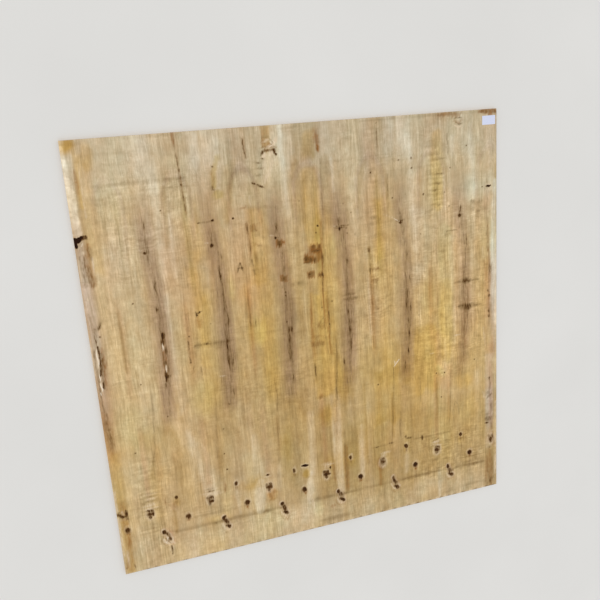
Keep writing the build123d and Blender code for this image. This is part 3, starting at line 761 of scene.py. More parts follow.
# Scratches, and a curl above one of them
pale(0.8, 2.5, line(3, (864, 483), (872, 493), (883, 503), taper=0.5),
     line(3, (866, 499), (868, 488), taper=0.5),
     line(4, (1081, 1181), (1094, 1176), (1108, 1180), taper=0.4))
umber(0.5, 3, line(4, (1080, 1200), (1092, 1203), (1105, 1201), taper=0.5),
      line(4, (1086, 1190), (1095, 1184), (1107, 1186), taper=0.5))
rust(0.35, 6, line(9, (1080, 1196), (1094, 1192), (1108, 1192), taper=0.4))
pale(0.3, 4, line(3, (850, 949), (879, 937), (893, 927), taper=0.5))
pale(0.5, 3, line(3.5, (986, 201), (1010, 209), taper=0.5), line(3, (186, 672), (185, 648), taper=0.4),
     line(3, (187, 607), (187, 584), taper=0.4))
umber(0.45, 3, line(3.5, (985, 205), (996, 209), (1009, 213), taper=0.5))
pale(0.3, 3, level(548, 330, 350, 4), level(503, 985, 1000, 4))
pale(0.65, 4, line(4, (575, 100), (580, 70), taper=0.5), level(548, 1070, 1090, 4))

# Olive and yellow places high up, and gold where the same growth rings come back
OLIVE = [line(13, (385, 1148), (371, 1110), (369, 1075)), oval(378, 1052, 28, 24)]
wash(8, *OLIVE, tone=-0.35, warm=0.3, blush=-0.8)
wash(14, line(34, (1022, 960), (1022, 1150)), warm=0.25)
umber(0.6, 3, oval(370, 1126, 6, 5), oval(364, 1072, 5, 8), oval(366, 1066, 10, 4))
rust(0.45, 5, line(3, (364, 1110), (370, 1095), (366, 1075), taper=0.3))
wash(16, line(40, (1042, 500), (1048, 800), taper=0.2), line(22, (1047, 780), (1047, 880)), tone=0.22)
wash(16, line(46, (1044, 490), (1048, 720), taper=0.2), warm=0.16)
wash(16, line(56, (1042, 480), (1048, 880), taper=0.3), blush=-0.9)
wash(8, oval(1046, 596, 50, 56), oval(1046, 768, 40, 24), tone=0.2)
rust(0.18, 6, line(8, (990, 722), (986, 655)), line(9, (1016, 705), (1014, 655)),
     line(4, (1000, 690), (1000, 640)))
wash(4, level(1009, 434, 535, 5), level(1004, 460, 535, 6), tone=-0.2)
wash(16, block(446, 494, 930, 1008), tone=-0.15)
wash(16, block(448, 492, 793, 1000), warm=0.14)
wash(16, block(446, 494, 880, 1000), blush=0.5)
wash(20, block(264, 330, 580, 860), block(290, 318, 640, 905), warm=0.1)
wash(16, block(460, 488, 700, 850), block(292, 326, 640, 800), tone=0.15)
wash(14, block(608, 662, 430, 745), warm=0.22)
wash(14, line(46, (634, 900), (636, 1080)), warm=0.3)
wash(14, block(606, 664, 960, 1130), blush=0.3)
wash(14, block(606, 664, 560, 900), block(250, 268, 600, 740), block(1000, 1060, 380, 560), blush=0.5)
wash(24, block(800, 880, 300, 480), block(820, 850, 820, 1000), block(940, 1010, 380, 600), warm=0.2)
wash(30, block(930, 990, 740, 960), warm=-0.12)
wash(12, block(806, 884, 440, 480), block(1078, 1110, 380, 440), block(380, 396, 380, 600), tone=-0.25)
wash(24, block(520, 590, 380, 470), block(690, 730, 400, 470), tone=-0.3)

# Broad uneven places: x, y, width, height, tone, warm, blush
PLACES = [
    (392, 390, 190, 190, 0, -0.17, 0), (335, 650, 60, 170, -0.1, -0.16, 0),
    (1010, 480, 320, 170, 0, 0.15, 0), (930, 520, 60, 420, -0.25, 0.16, 0.3),
    (1005, 660, 70, 220, 0, 0.2, 0.2), (140, 398, 110, 70, -0.25, 0.15, -0.2),
    (640, 160, 80, 120, -0.15, 0.15, 0.1), (700, 885, 50, 80, 0.4, 0.14, -0.8),
    (1190, 840, 50, 150, 0.3, 0, -1.2), (1128, 625, 50, 130, -0.5, 0, 0.4),
    (582, 680, 44, 120, -0.45, 0, 0.2), (213, 610, 40, 220, -0.16, 0, 0.3),
    (1006, 270, 60, 210, 0.35, -0.1, -0.4), (1006, 85, 70, 70, 0.3, -0.1, -0.2),
    (152, 92, 50, 60, -0.35, 0, 0.3), (335, 62, 60, 110, -0.35, 0, 0.3), (457, 70, 60, 100, 0.25, 0, -0.8),
    (701, 25, 50, 60, -0.35, 0, -0.2), (884, 60, 50, 110, -0.3, 0, 0), (335, 1190, 70, 60, -0.3, 0.1, 0.2),
    (335, 1068, 50, 70, -0.25, 0, 0.3), (25, 1000, 50, 150, -0.25, 0, 0), (1128, 1195, 60, 50, -0.3, 0, 0),
    (518, 210, 46, 190, -0.25, 0, 0.1), (370, 240, 190, 140, -0.08, -0.18, -0.3),
    (670, 690, 110, 330, 0.1, 0.05, -0.7), (1175, 700, 60, 300, 0, 0.12, 0),
    (600, 30, 1160, 80, -0.1, 0, -0.4), (820, 500, 130, 130, 0, 0.1, 0), (1083, 840, 26, 220, 0.5, 0, 0),
    (505, 290, 36, 110, -0.3, 0.12, -0.3), (310, 265, 44, 120, -0.35, 0, 0.4),
    (560, 60, 90, 80, 0.35, -0.1, 0), (580, 170, 34, 130, 0.35, -0.1, 0), (955, 62, 70, 60, 0.3, -0.12, 0),
    (968, 570, 70, 22, -0.3, 0.1, 0.3), (820, 1000, 60, 160, 0, 0.12, 0.3),
    (15, 1206, 34, 40, -0.7, 0.6, 0.3), (14, 760, 30, 500, 0, -0.45, -0.3), (15, 655, 30, 90, 0.3, 0, -0.6),
    (450, 662, 50, 86, 0.65, 0.25, -0.8), (476, 915, 34, 120, 0.36, -0.12, -0.8),
    (656, 872, 26, 110, 0.6, 0, -0.5), (320, 840, 28, 100, 0, -0.35, -0.4),
    (1098, 396, 54, 50, 0.4, 0.2, 0), (1143, 338, 36, 60, -0.45, 0.1, 0), (280, 107, 50, 26, 0.5, 0.2, 0),
    (80, 440, 100, 130, 0.12, 0, -0.8), (1018, 1050, 60, 190, 0, 0.1, -0.9),
    (822, 800, 50, 150, 0.4, 0.15, -0.4), (1082, 540, 26, 150, 0.5, 0.05, 0),
    (1098, 292, 54, 90, 0.5, 0, -0.4), (383, 795, 28, 70, 0.55, 0.15, -0.8),
    (899, 275, 28, 120, 0.6, 0, -0.2), (804, 168, 26, 50, -0.7, 0.1, 1.2),
    (1204, 170, 24, 38, -0.9, 0.1, 1), (398, 198, 56, 28, -0.45, 0.35, 0.3),
    (596, 64, 30, 50, 0.4, 0, -0.9), (396, 14, 50, 24, -0.6, 0, -0.2), (890, 14, 240, 26, -0.55, -0.05, 0),
    (1037, 1206, 54, 28, -0.5, 0.1, 0.3), (274, 1144, 56, 34, 0.55, 0, -0.4),
    (1021, 442, 34, 34, 0.7, 0, -1.6), (640, 366, 50, 60, -0.3, 0.3, 0),
    (1204, 600, 22, 130, -0.3, -0.1, 0.5), (1204, 740, 24, 220, 0.1, -0.35, 0.2),
    (1204, 290, 24, 170, -0.4, 0, 0.8), (1204, 488, 22, 60, -0.5, 0, 1.4),
    (950, 1130, 500, 150, 0, -0.08, -0.3), (275, 860, 170, 250, 0.05, 0.06, 0.8),
    (440, 860, 110, 240, 0.12, 0, 1), (670, 215, 110, 60, 0, 0.2, 0.3), (91, 1080, 50, 200, 0.25, 0, -0.7),
    (225, 1008, 130, 50, 0.4, 0, 0.1), (1150, 1005, 110, 60, 0.35, -0.25, -0.8),
    (60, 290, 110, 120, 0.35, -0.12, -0.3), (445, 770, 60, 80, 0.3, 0.1, 0.5),
    (945, 765, 60, 60, 0.4, -0.1, 0), (840, 275, 120, 60, 0.25, 0, 0), (275, 490, 60, 110, 0.35, 0.1, -1),
    (701, 470, 60, 130, 0.15, 0.25, -0.4),
]
for x, y, width, height, lighter, warmer, redder in PLACES:
    place = oval(x, y, width, height)
    wash(0.6 * width, place, tone=lighter, warm=warmer, blush=redder)

# Where the knife left ripples
ripples(0.15, 60, block(60, 1200, 430, 980))
ripples(0.25, 30, block(60, 1200, -10, 85))
ripples(0.45, 40, block(930, 1175, 430, 960))
ripples(0.6, 40, block(60, 160, 60, 330), block(790, 870, 640, 860), block(996, 1050, 950, 1130))
ripples(0.5, 40, block(900, 1172, 80, 250), block(950, 1172, 90, 230), block(990, 1080, 430, 640),
        block(70, 300, 950, 1120))
ripples(0.35, 40, block(330, 700, 380, 560), block(100, 200, 840, 960), block(700, 800, 540, 740))

# Paper sticker near the upper right corner
STICKER = (1172.5, 1215.5, 1176.0, 1201.5)

# Chips along the lower edge from the right corner, each bite shallower than the one before
CHIP_COUNT, CHIP_INSET, CHIP_SPACING = 3, 14, 11
CHIP_WIDTH, CHIP_BITE, CHIP_FADE = 6, 2.6, 0.25
for number in range(CHIP_COUNT):
    bite = CHIP_BITE * (1 - CHIP_FADE * number)
    chip = oval(WIDTH - CHIP_INSET - CHIP_SPACING * number, 0, CHIP_WIDTH, 2 * bite)
    umber(0.6, 2, chip)
    dent(FACE_PLY, 1.2, chip)

# Pale torn bits along the lower edge, painted as a highlight where its arris catches the light, and painted
# shadow in small bites between them
LOWER_EDGE_COUNT, LOWER_EDGE_INSET, LOWER_EDGE_SPACING, LOWER_EDGE_STRAY = 34, 50, 33.5, 11
for number in range(LOWER_EDGE_COUNT):
    x = LOWER_EDGE_INSET + LOWER_EDGE_SPACING * number + LOWER_EDGE_STRAY * math.sin(5 * number)
    reach = 5 + 4 * math.sin(3.1 * number) ** 2
    pale(0.45, 5, oval(x, 0, 26, 1.2 * reach))
    umber(0.5, 4, oval(x + 15, 0, 15, 0.9 * reach))


def from_line(turns, radius):
    """Millimetres across the grain to the nearest place where the count of turns is whole."""
    return np.abs((turns + 0.5) % 1 - 0.5) * 2 * math.pi * radius


def streaks(x, y, turn):
    """The purple-grey streak, which comes back once a turn: a soft halo and a darker middle."""
    heights = [430, 458, 519, 641, 702, 824, 885, 946, 1040]
    strengths = [0, 0.55, 0.8, 0.92, 0.88, 0.72, 0.68, 0.72, 0.3]
    by_turn = [0.35, 0.92, 0.95, 0.88, 0.88, 0.68, 0.6]
    away = turn - streak_phase(y)
    strength = np.interp(y, heights, strengths) * smooth(1095, 1010, y) * np.interp(away, range(7), by_turn)
    reach = from_line(away, CORE_RADIUS + FACE_PLY * turn) + 3 * cloud(x, y, 9, 90, 101)
    half = 19 + 5 * smooth(880, 1020, y)
    halo = smooth(half + 9, half - 7, reach)
    core = smooth(14, 4, reach)
    return strength * (0.76 * halo + 0.24 * core)


# Stripes of the same growth rings, once a turn: phase, half width, from y, to y, tone, warm, blush
STRIPES = [
    (0.24, 9, 560, 1130, 0.3, -0.05, 0), (0.4, 5, 480, 920, 0.2, 0, 0), (0.5, 6, 540, 790, -0.35, 0.05, 0.8),
    (0.66, 4, 800, 1060, -0.35, 0.1, -0.5), (0.97, 6, 400, 1000, -0.3, 0, 0.3),
    (0.125, 22, 1110, 1230, 0.35, -0.05, 0), (0.55, 18, 1110, 1230, -0.1, 0.05, 0.3),
    (0.88, 14, 1110, 1230, 0.3, -0.05, 0), (0.55, 6, 220, 440, -0.3, 0, 0.8),
    (0.78, 5, 275, 397, -0.3, 0.05, 0.4), (0.33, 7, 90, 420, 0.15, -0.05, 0),
]
# Gold wood, stronger in some turns than in others
GOLD_PHASE = 0.76
GOLD_BY_TURN = [0, 0.1, 0.2, 0.26, 0.12, 0.05]


def washes(x, y, turn):
    """The broad tone, warmth and blush of the weathered face."""
    middle = between(y, 340, 990, 70)
    top = smooth(1000, 1080, y)
    low = between(y, 60, 330, 40)
    bottom = smooth(90, 40, y)
    tone = middle * np.interp(x, [0, 90, 200, 330, 560, 640, 800, 950, 1100, 1220],
                              [0.2, 0.5, 0.15, -0.15, -0.25, -0.25, -0.1, 0.15, 0.2, 0.1])
    tone += top * np.interp(x, [30, 150, 220, 280, 360, 450, 540, 640, 740, 820, 940, 1000, 1120, 1200],
                            [0, 0.4, 0.35, 0, 0.15, -0.15, 0.1, -0.3, 0.05, -0.25, 0.2, -0.05, 0.25, 0.15])
    tone += low * np.interp(x, [0, 120, 420, 640, 900, 1220], [0.2, 0.05, 0.05, -0.45, -0.45, -0.3])
    tone += bottom * np.interp(x, [0, 300, 560, 640, 900, 1220], [0.15, 0.3, 0.35, 0, 0.1, -0.1])
    tone += 0.22 * smooth(98, 91, y) * smooth(140, 180, x) * smooth(1180, 1170, x)
    tone += 0.16 * cloud(x, y, 70, 150, 81) + 0.15 * cloud(x, y, 26, 60, 91)
    warm = np.interp(y, [0, 60, 150, 275, 397, 640, 824, 946, 1007, 1068, 1129, 1220],
                     [0.46, 0.48, 0.6, 0.7, 0.72, 0.68, 0.6, 0.5, 0.44, 0.36, 0.25, 0.22])
    warm += middle * np.interp(x, [0, 60, 120, 220, 300, 560, 700, 900, 1220],
                               [0, -0.1, -0.2, -0.15, 0, 0, -0.03, -0.05, -0.1])
    warm += low * np.interp(x, [0, 600, 800, 1220], [-0.05, -0.03, 0.1, 0.08])
    warm += 0.12 * cloud(x, y, 40, 200, 111)
    blush = 0.6 * cloud(x, y, 45, 220, 121) + middle * smooth(0.3, 0, turn)
    off_gold = np.abs(turn % 1 - GOLD_PHASE)
    gold = np.interp(turn - GOLD_PHASE, range(6), GOLD_BY_TURN) * smooth(0.2, 0.06, off_gold)
    warm += gold * between(y, 450, 980, 50)
    blush += gold * between(y, 450, 980, 50) - 0.1
    for number, (phase, half, y0, y1, brighter, warmer, redder) in enumerate(STRIPES):
        reach = from_line(turn - phase, CORE_RADIUS + FACE_PLY * turn)
        reach = reach + 2.5 * cloud(x, y, 12, 160, 131 + 3 * number)
        uneven = 1 + 0.5 * np.sin(2.4 * np.floor(turn - phase + 0.5) + 1.7 * number)
        share = smooth(half + 5, half - 4, reach) * between(y, y0, y1, 35) * uneven
        tone += brighter * share
        warm += warmer * share
        blush += redder * share
    return tone, warm, blush


# Where in a turn the rings' lines close, and their arch: how strong, its middle height and how soft
RING_PHASE = 0.555
CROWN, CROWN_HEIGHT, CROWN_SOFT = 1.1, 1100, 16


def rings(y, turn):
    """The growth rings, whose lines close in an arch near the top of each turn."""
    crown = CROWN / (1 + np.exp((CROWN_HEIGHT - y) / CROWN_SOFT))
    return np.cos(2 * math.pi * (turn - RING_PHASE)) - crown


# Tints with edges this soft, in millimetres, wander further than the others
WANDERS_FROM = 12


def painted(x, y):
    """Every tint and paint of the face at these places."""
    turn = turn_at(x)
    ragged_x = x + 1.2 * cloud(x, y, 5, 9, 11) + 1.2 * cloud(x, y, 30, 90, 21)
    ragged_y = y + 1.5 * cloud(x, y, 5, 8, 31)
    soaked_y = y + 8 * cloud(x, y, 3.5, 60, 141, 2)
    drifted_x = x + 5 * cloud(x, y, 14, 90, 161)
    drifted_y = y + 14 * cloud(x, y, 22, 50, 171)
    fields = {name: np.zeros_like(x) for name in TINTS + PAINTS}
    for paint, strength, soft, shape in marks:
        across, up = ragged_x, soaked_y if paint == "rust" else ragged_y
        if paint in TINTS and soft >= WANDERS_FROM:
            across, up = drifted_x, drifted_y
        amount = smooth(soft / 2, -soft / 2, shape(across, up))
        if paint in TINTS:
            fields[paint] += strength * amount
        else:
            fields[paint] = 1 - (1 - fields[paint]) * (1 - strength * amount)
    tone, warm, blush = washes(x, y, turn)
    fields["grey"] = streaks(x, y, turn)
    fields["ring"] = rings(y, turn)
    strong = np.interp(turn, [0, 1.5, 2.5, 3.5, 4.5, 6], [0.6, 0.7, 1.2, 1, 0.8, 0.7])
    arch = strong * between(fields["ring"], 0.02, 0.3, 0.1) * between(y, 950, 1130, 40)
    inner = strong * between(fields["ring"], 0.5, 0.68, 0.08) * between(y, 980, 1100, 40)
    fields["tone"] += tone - 0.32 * arch + 0.2 * inner
    fields["warm"] += warm - 0.1 * arch
    fields["blush"] += blush + 0.6 * arch
    fields["ripple"] += 0.2
    return fields


def depth_at(x, y):
    """How deep the face is sunk at these places."""
    ragged_x = x + 0.8 * cloud(x, y, 4, 6, 41)
    ragged_y = y + 0.8 * cloud(x, y, 4, 6, 51)
    depth = np.zeros_like(x)
    for deep, soft, shape in dents:
        depth = np.maximum(depth, deep * smooth(soft / 2, -soft / 2, shape(ragged_x, ragged_y)))
    return depth * (1 + 0.15 * cloud(x, y, 3, 3, 61))


# The face's mesh: squares that are halved where the marks need it
CELLS = 160
HALVINGS = 3
FINEST = 2**HALVINGS
UNIT = WIDTH / CELLS / FINEST
# A mark calls for finer squares where its edge is sharper than this, in millimetres
SHARP_TINT = 5
SHARP_PAINT = 7
# The smallest square that a mark calls for, as a share of its soft edge and in millimetres, and how it grows
SOFT_SHARE = 0.95
SMALLEST = 1.2
GROWTH = 0.8


def wanted_size(x, y):
    """The size of square that the marks near a place call for."""
    size = np.full_like(x, WIDTH / CELLS)
    sharp = [(soft, shape) for paint, _, soft, shape in marks
             if soft < (SHARP_TINT if paint in TINTS else SHARP_PAINT)]
    for soft, shape in sharp + [(soft, shape) for _, soft, shape in dents]:
        size = np.minimum(size, max(SOFT_SHARE * soft, SMALLEST) + GROWTH * np.abs(shape(x, y)))
    return size


def face_squares():
    """Column, row and side of each square, counted in the finest units."""
    starts = np.arange(CELLS) * FINEST
    columns, rows = [grid.ravel() for grid in np.meshgrid(starts, starts)]
    side = FINEST
    kept = []
    while side > 1:
        size = wanted_size((columns + side / 2) * UNIT, (rows + side / 2) * LENGTH / CELLS / FINEST)
        halve = size < side * UNIT
        kept.append((columns[~halve], rows[~halve], np.full((~halve).sum(), side)))
        columns, rows = columns[halve], rows[halve]
        side //= 2
        columns = np.concatenate([columns, columns + side, columns, columns + side])
        rows = np.concatenate([rows, rows, rows + side, rows + side])
    kept.append((columns, rows, np.full(len(columns), 1)))
    return [np.concatenate(parts) for parts in zip(*kept)]


def square_faces(columns, rows, sides):
    """Corners in use and the faces on them.

    A square with a neighbour's corner on its side is fanned from its middle."""
    span = CELLS * FINEST + 1
    used = np.zeros((span, span), bool)
    for across in (0, 1):
        for up in (0, 1):
            used[columns + across * sides, rows + up * sides] = True
    index = np.full((span, span), -1)
    index[used] = np.arange(used.sum())
    corner_columns, corner_rows = np.nonzero(used)
    points = list(zip(corner_columns.tolist(), corner_rows.tolist()))
    faces = []
    for c, r, s in zip(columns.tolist(), rows.tolist(), sides.tolist()):
        rim = [(c + i, r) for i in range(s)] + [(c + s, r + i) for i in range(s)]
        rim += [(c + s - i, r + s) for i in range(s)] + [(c, r + s - i) for i in range(s)]
        rim = [index[point] for point in rim if used[point]]
        if len(rim) == 4:
            faces.append(tuple(rim))
            continue
        faces += [(a, b, len(points)) for a, b in zip(rim, rim[1:] + rim[:1])]
        points.append((c + s / 2, r + s / 2))
    return np.array(points) * np.array([WIDTH, LENGTH]) / CELLS / FINEST, faces


# A place nearer than this to an edge of the sheet lies on it
TINY = 1e-6


def edge_loop(places):
    """The numbers of the face's rim corners, in order round the sheet from the lower left corner."""
    x, y = places[:, 0], places[:, 1]
    sides = [(y < TINY, x), (x > WIDTH - TINY, y), (y > LENGTH - TINY, -x), (x < TINY, -y)]
    order = []
    for on_side, along in sides:
        corners = np.nonzero(on_side)[0]
        order += list(corners[np.argsort(along[corners])])[:-1]
    return order


# How far each level of the edge stands back, from the face down to the back: a groove at each glue line, and
# every second ply a little further back than the others
ARRIS = 0.15
GROOVE_HALF = 0.14
GROOVE_DEPTH = 0.22
PLY_STEP = 0.06
EDGE_PROFILE = [(THICK - ARRIS, 0)]
for number, glue_line in enumerate(PLY_LEVELS):
    EDGE_PROFILE += [(glue_line + GROOVE_HALF, PLY_STEP * (number % 2)), (glue_line, GROOVE_DEPTH),
                     (glue_line - GROOVE_HALF, PLY_STEP * ((number + 1) % 2))]
EDGE_PROFILE += [(ARRIS, 0), (0, ARRIS)]
EDGE_ROUGH = 0.08
EDGE_DEEPEST = 0.4
# Least height between two levels of the edge
LEAST_STEP = 0.02

# The underside's loops, as shares of the way from its middle to its rim
BACK_LOOPS = (0.97, 0.85, 0.6, 0.3)

# Which material each face of the mesh takes
ON_FACE, ON_SIDE_EDGE, ON_END_EDGE, ON_BACK = range(4)


def strip(above, below):
    """The quads between two loops with as many corners."""
    nexts = zip(above, below, above[1:] + above[:1], below[1:] + below[:1])
    return [(a, b, next_b, next_a) for a, b, next_a, next_b in nexts]


def towards_middle(values, most):
    """1 at the start of the sheet, -1 at its other end, and 0 between them."""
    return np.where(values < TINY, 1.0, np.where(values > most - TINY, -1.0, 0.0))


def sheet_mesh():
    """The whole sheet as one closed mesh, with its materials' numbers and the paints of its face."""
    places, faces = square_faces(*face_squares())
    paints = painted(places[:, 0], places[:, 1])
    kinds = [ON_FACE] * len(faces)
    loop = edge_loop(places)
    rim = places[loop]
    inward = np.column_stack([towards_middle(rim[:, 0], WIDTH), towards_middle(rim[:, 1], LENGTH)])
    flat = np.column_stack([places, THICK - depth_at(places[:, 0], places[:, 1])])
    flat[loop, :2] += ARRIS * inward
    top = flat[loop, 2]
    # A stretch of the rim is on the left or right edge where both its ends face the middle along x
    ends_facing = np.abs(inward[:, 0] + np.roll(inward[:, 0], -1))
    edge_kinds = np.where(ends_facing == 2, ON_SIDE_EDGE, ON_END_EDGE).tolist()

    rows = []
    for step, (height, back) in enumerate(EDGE_PROFILE):
        rough = EDGE_ROUGH * cloud(rim[:, 0] + rim[:, 1] * 1.7, np.full(len(rim), height * 9.0), 6, 5, 71)
        stand_back = np.clip(back + rough, 0, EDGE_DEEPEST)
        level_z = np.minimum(height, top - LEAST_STEP * (step + 1))
        level_z = np.maximum(level_z, LEAST_STEP * (len(EDGE_PROFILE) - 1 - step))
        rows.append(np.column_stack([rim + inward * stand_back[:, None], level_z]))
    middle = np.array([WIDTH / 2, LENGTH / 2, 0.0])
    rows += [middle + (rows[-1] - middle) * [share, share, 0] for share in BACK_LOOPS]

    count = len(flat)
    above = list(loop)
    for number in range(len(rows)):
        below = list(range(count, count + len(loop)))
        faces += strip(above, below)
        kinds += edge_kinds if number < len(EDGE_PROFILE) else [ON_BACK] * len(loop)
        count += len(loop)
        above = below
    faces += [(a, count, b) for a, b in zip(above, above[1:] + above[:1])]
    kinds += [ON_BACK] * len(loop)
    return np.concatenate([flat, *rows, middle[None, :]]), faces, kinds, paints


def colour(red, green, blue):
    """A shader colour from the 0 to 255 values that it shows."""
    def linear(value):
        share = value / 255
        return share / 12.92 if share <= 0.04045 else ((share + 0.055) / 1.055) ** 2.4
    return (linear(red), linear(green), linear(blue), 1.0)


# The sockets of Blender's Mix node for colours
MIX_FIRST, MIX_SECOND, MIX_RESULT = 6, 7, 2
# How far a material's bump reaches, in metres
BUMP_REACH = 0.0003


class Nodes:
    """Puts a material together from small steps, each of which gives back its output."""

    def __init__(self, name):
        self.material = bpy.data.materials.new(name)
        self.material.use_nodes = True
        self.tree = self.material.node_tree
        self.shader = self.tree.nodes["Principled BSDF"]

    def put(self, kind, inputs, **settings):
        node = self.tree.nodes.new(kind)
        for name, value in settings.items():
            setattr(node, name, value)
        for key, value in inputs.items():
            if isinstance(value, bpy.types.NodeSocket):
                self.tree.links.new(value, node.inputs[key])
            else:
                node.inputs[key].default_value = value
        return node

    def maths(self, operation, *values, clamp=False):
        inputs = dict(enumerate(values))
        return self.put("ShaderNodeMath", inputs, operation=operation, use_clamp=clamp).outputs[0]

    def scaled(self, value, factor, offset):
        """The value times the factor, with the offset added."""
        return self.maths("MULTIPLY_ADD", value, factor, offset)

    def times(self, *factors, clamp=False):
        result = factors[0]
        for factor in factors[1:]:
            result = self.maths("MULTIPLY", result, factor, clamp=clamp)
        return result

    def spot(self):
        return self.put("ShaderNodeTexCoord", {}).outputs["Object"]

    def field(self, name):
        return self.put("ShaderNodeAttribute", {}, attribute_name=name).outputs["Fac"]

    def join(self, x, y, z):
        return self.put("ShaderNodeCombineXYZ", {0: x, 1: y, 2: z}).outputs[0]

    def noise(self, vector, scale, detail=2.0, rough=0.5):
        inputs = {"Vector": vector, "Scale": scale, "Detail": detail, "Roughness": rough}
        return self.put("ShaderNodeTexNoise", inputs).outputs["Fac"]

    def noise_line(self, value, scale, detail):
        inputs = {"W": value, "Scale": scale, "Detail": detail}
        return self.put("ShaderNodeTexNoise", inputs, noise_dimensions="1D").outputs["Fac"]

    def drift(self, x, y, wide, tall, seed, detail, rough=0.5):
        """Noise in a plane, with lumps that are wide along x and tall along y."""
        place = self.join(self.maths("DIVIDE", x, wide), self.maths("DIVIDE", y, tall), seed)
        return self.noise(place, 1.0, detail, rough)

    def spread(self, value, low, high):
        """0 on low's side, 1 on high's side, and a smooth change between them."""
        inputs = {0: value, 1: low, 2: high}
        return self.put("ShaderNodeMapRange", inputs, interpolation_type="SMOOTHSTEP").outputs[0]

    def ramp(self, value, *stops, steps="LINEAR"):
        node = self.put("ShaderNodeValToRGB", {0: value})
        node.color_ramp.interpolation = steps
        elements = node.color_ramp.elements
        while len(elements) < len(stops):
            elements.new(0.5)
        for element, (position, shade) in zip(elements, stops):
            element.position = position
            element.color = shade
        return node.outputs[0]

    def mix(self, share, first, second, blend="MIX"):
        inputs = {0: share, MIX_FIRST: first, MIX_SECOND: second}
        return self.put("ShaderNodeMix", inputs, data_type="RGBA", blend_type=blend).outputs[MIX_RESULT]

    def shade(self, paint, red, green, blue):
        """A paint times a light for each of its three parts."""
        return self.mix(1.0, paint, self.join(red, green, blue), "MULTIPLY")

    def surface(self, paint, rough, relief=None, strength=0.5, reach=BUMP_REACH, specular=0.5):
        """Finishes the material, with a bump where it has a relief."""
        self.tree.links.new(paint, self.shader.inputs["Base Color"])
        self.shader.inputs["Roughness"].default_value = rough
        self.shader.inputs["Specular IOR Level"].default_value = specular
        if relief:
            bump = self.put("ShaderNodeBump", {"Strength": strength, "Distance": reach, "Height": relief})
            self.tree.links.new(bump.outputs[0], self.shader.inputs["Normal"])
        return self.material


def log_space(nodes, wander=0.0):
    """Millimetres from the left and lower edges, and where each place was in the turning log.

    With wander, the grain runs to and fro by about a tenth of it."""
    parts = nodes.put("ShaderNodeSeparateXYZ", {0: nodes.spot()})
    x = nodes.scaled(parts.outputs[0], 1 / MM, WIDTH / 2)
    y = nodes.scaled(parts.outputs[1], 1 / MM, LENGTH / 2)
    z = nodes.times(parts.outputs[2], 1 / MM)
    bend = nodes.maths("SUBTRACT", nodes.drift(x, y, 150.0, 190.0, 2.0, 3.0), 0.5)
    strayed = nodes.scaled(bend, wander, x)
    radius = nodes.maths("SQRT", nodes.scaled(strayed, FACE_PLY / math.pi, CORE_RADIUS**2))
    angle = nodes.scaled(radius, 2 * math.pi / FACE_PLY, -2 * math.pi * CORE_RADIUS / FACE_PLY)
    across = nodes.times(radius, nodes.maths("COSINE", angle))
    deep = nodes.times(radius, nodes.maths("SINE", angle))
    return x, y, z, across, deep


def fibres(nodes, across, deep, y, wide, long, detail=2.0, rough=0.5):
    """Noise drawn out along the grain, the same again one turn later but for the log's growth."""
    place = nodes.join(across, deep, nodes.times(y, wide / long))
    return nodes.noise(place, 1.0 / wide, detail, rough)


# The face's colours
GREY_STRAW, STRAW, GOLD = colour(192, 177, 151), colour(193, 165, 121), colour(198, 161, 92)
STREAK, STREAK_DASH, STREAK_GLEAM = colour(154, 121, 95), colour(92, 64, 40), colour(190, 160, 128)
RUST, PALE = colour(136, 87, 34), colour(222, 200, 168)
UMBERS = ((0.0, colour(124, 98, 58)), (0.5, colour(104, 78, 38)), (0.8, colour(86, 54, 18)),
          (1.0, colour(40, 17, 2)))
# How much one step of tone and of blush changes the wood, and how dark tone may make it
TONE_LIGHT = 0.36
DARKEST = 0.3
BLUSH_RED = 0.045
BLUSH_GREEN = -0.027


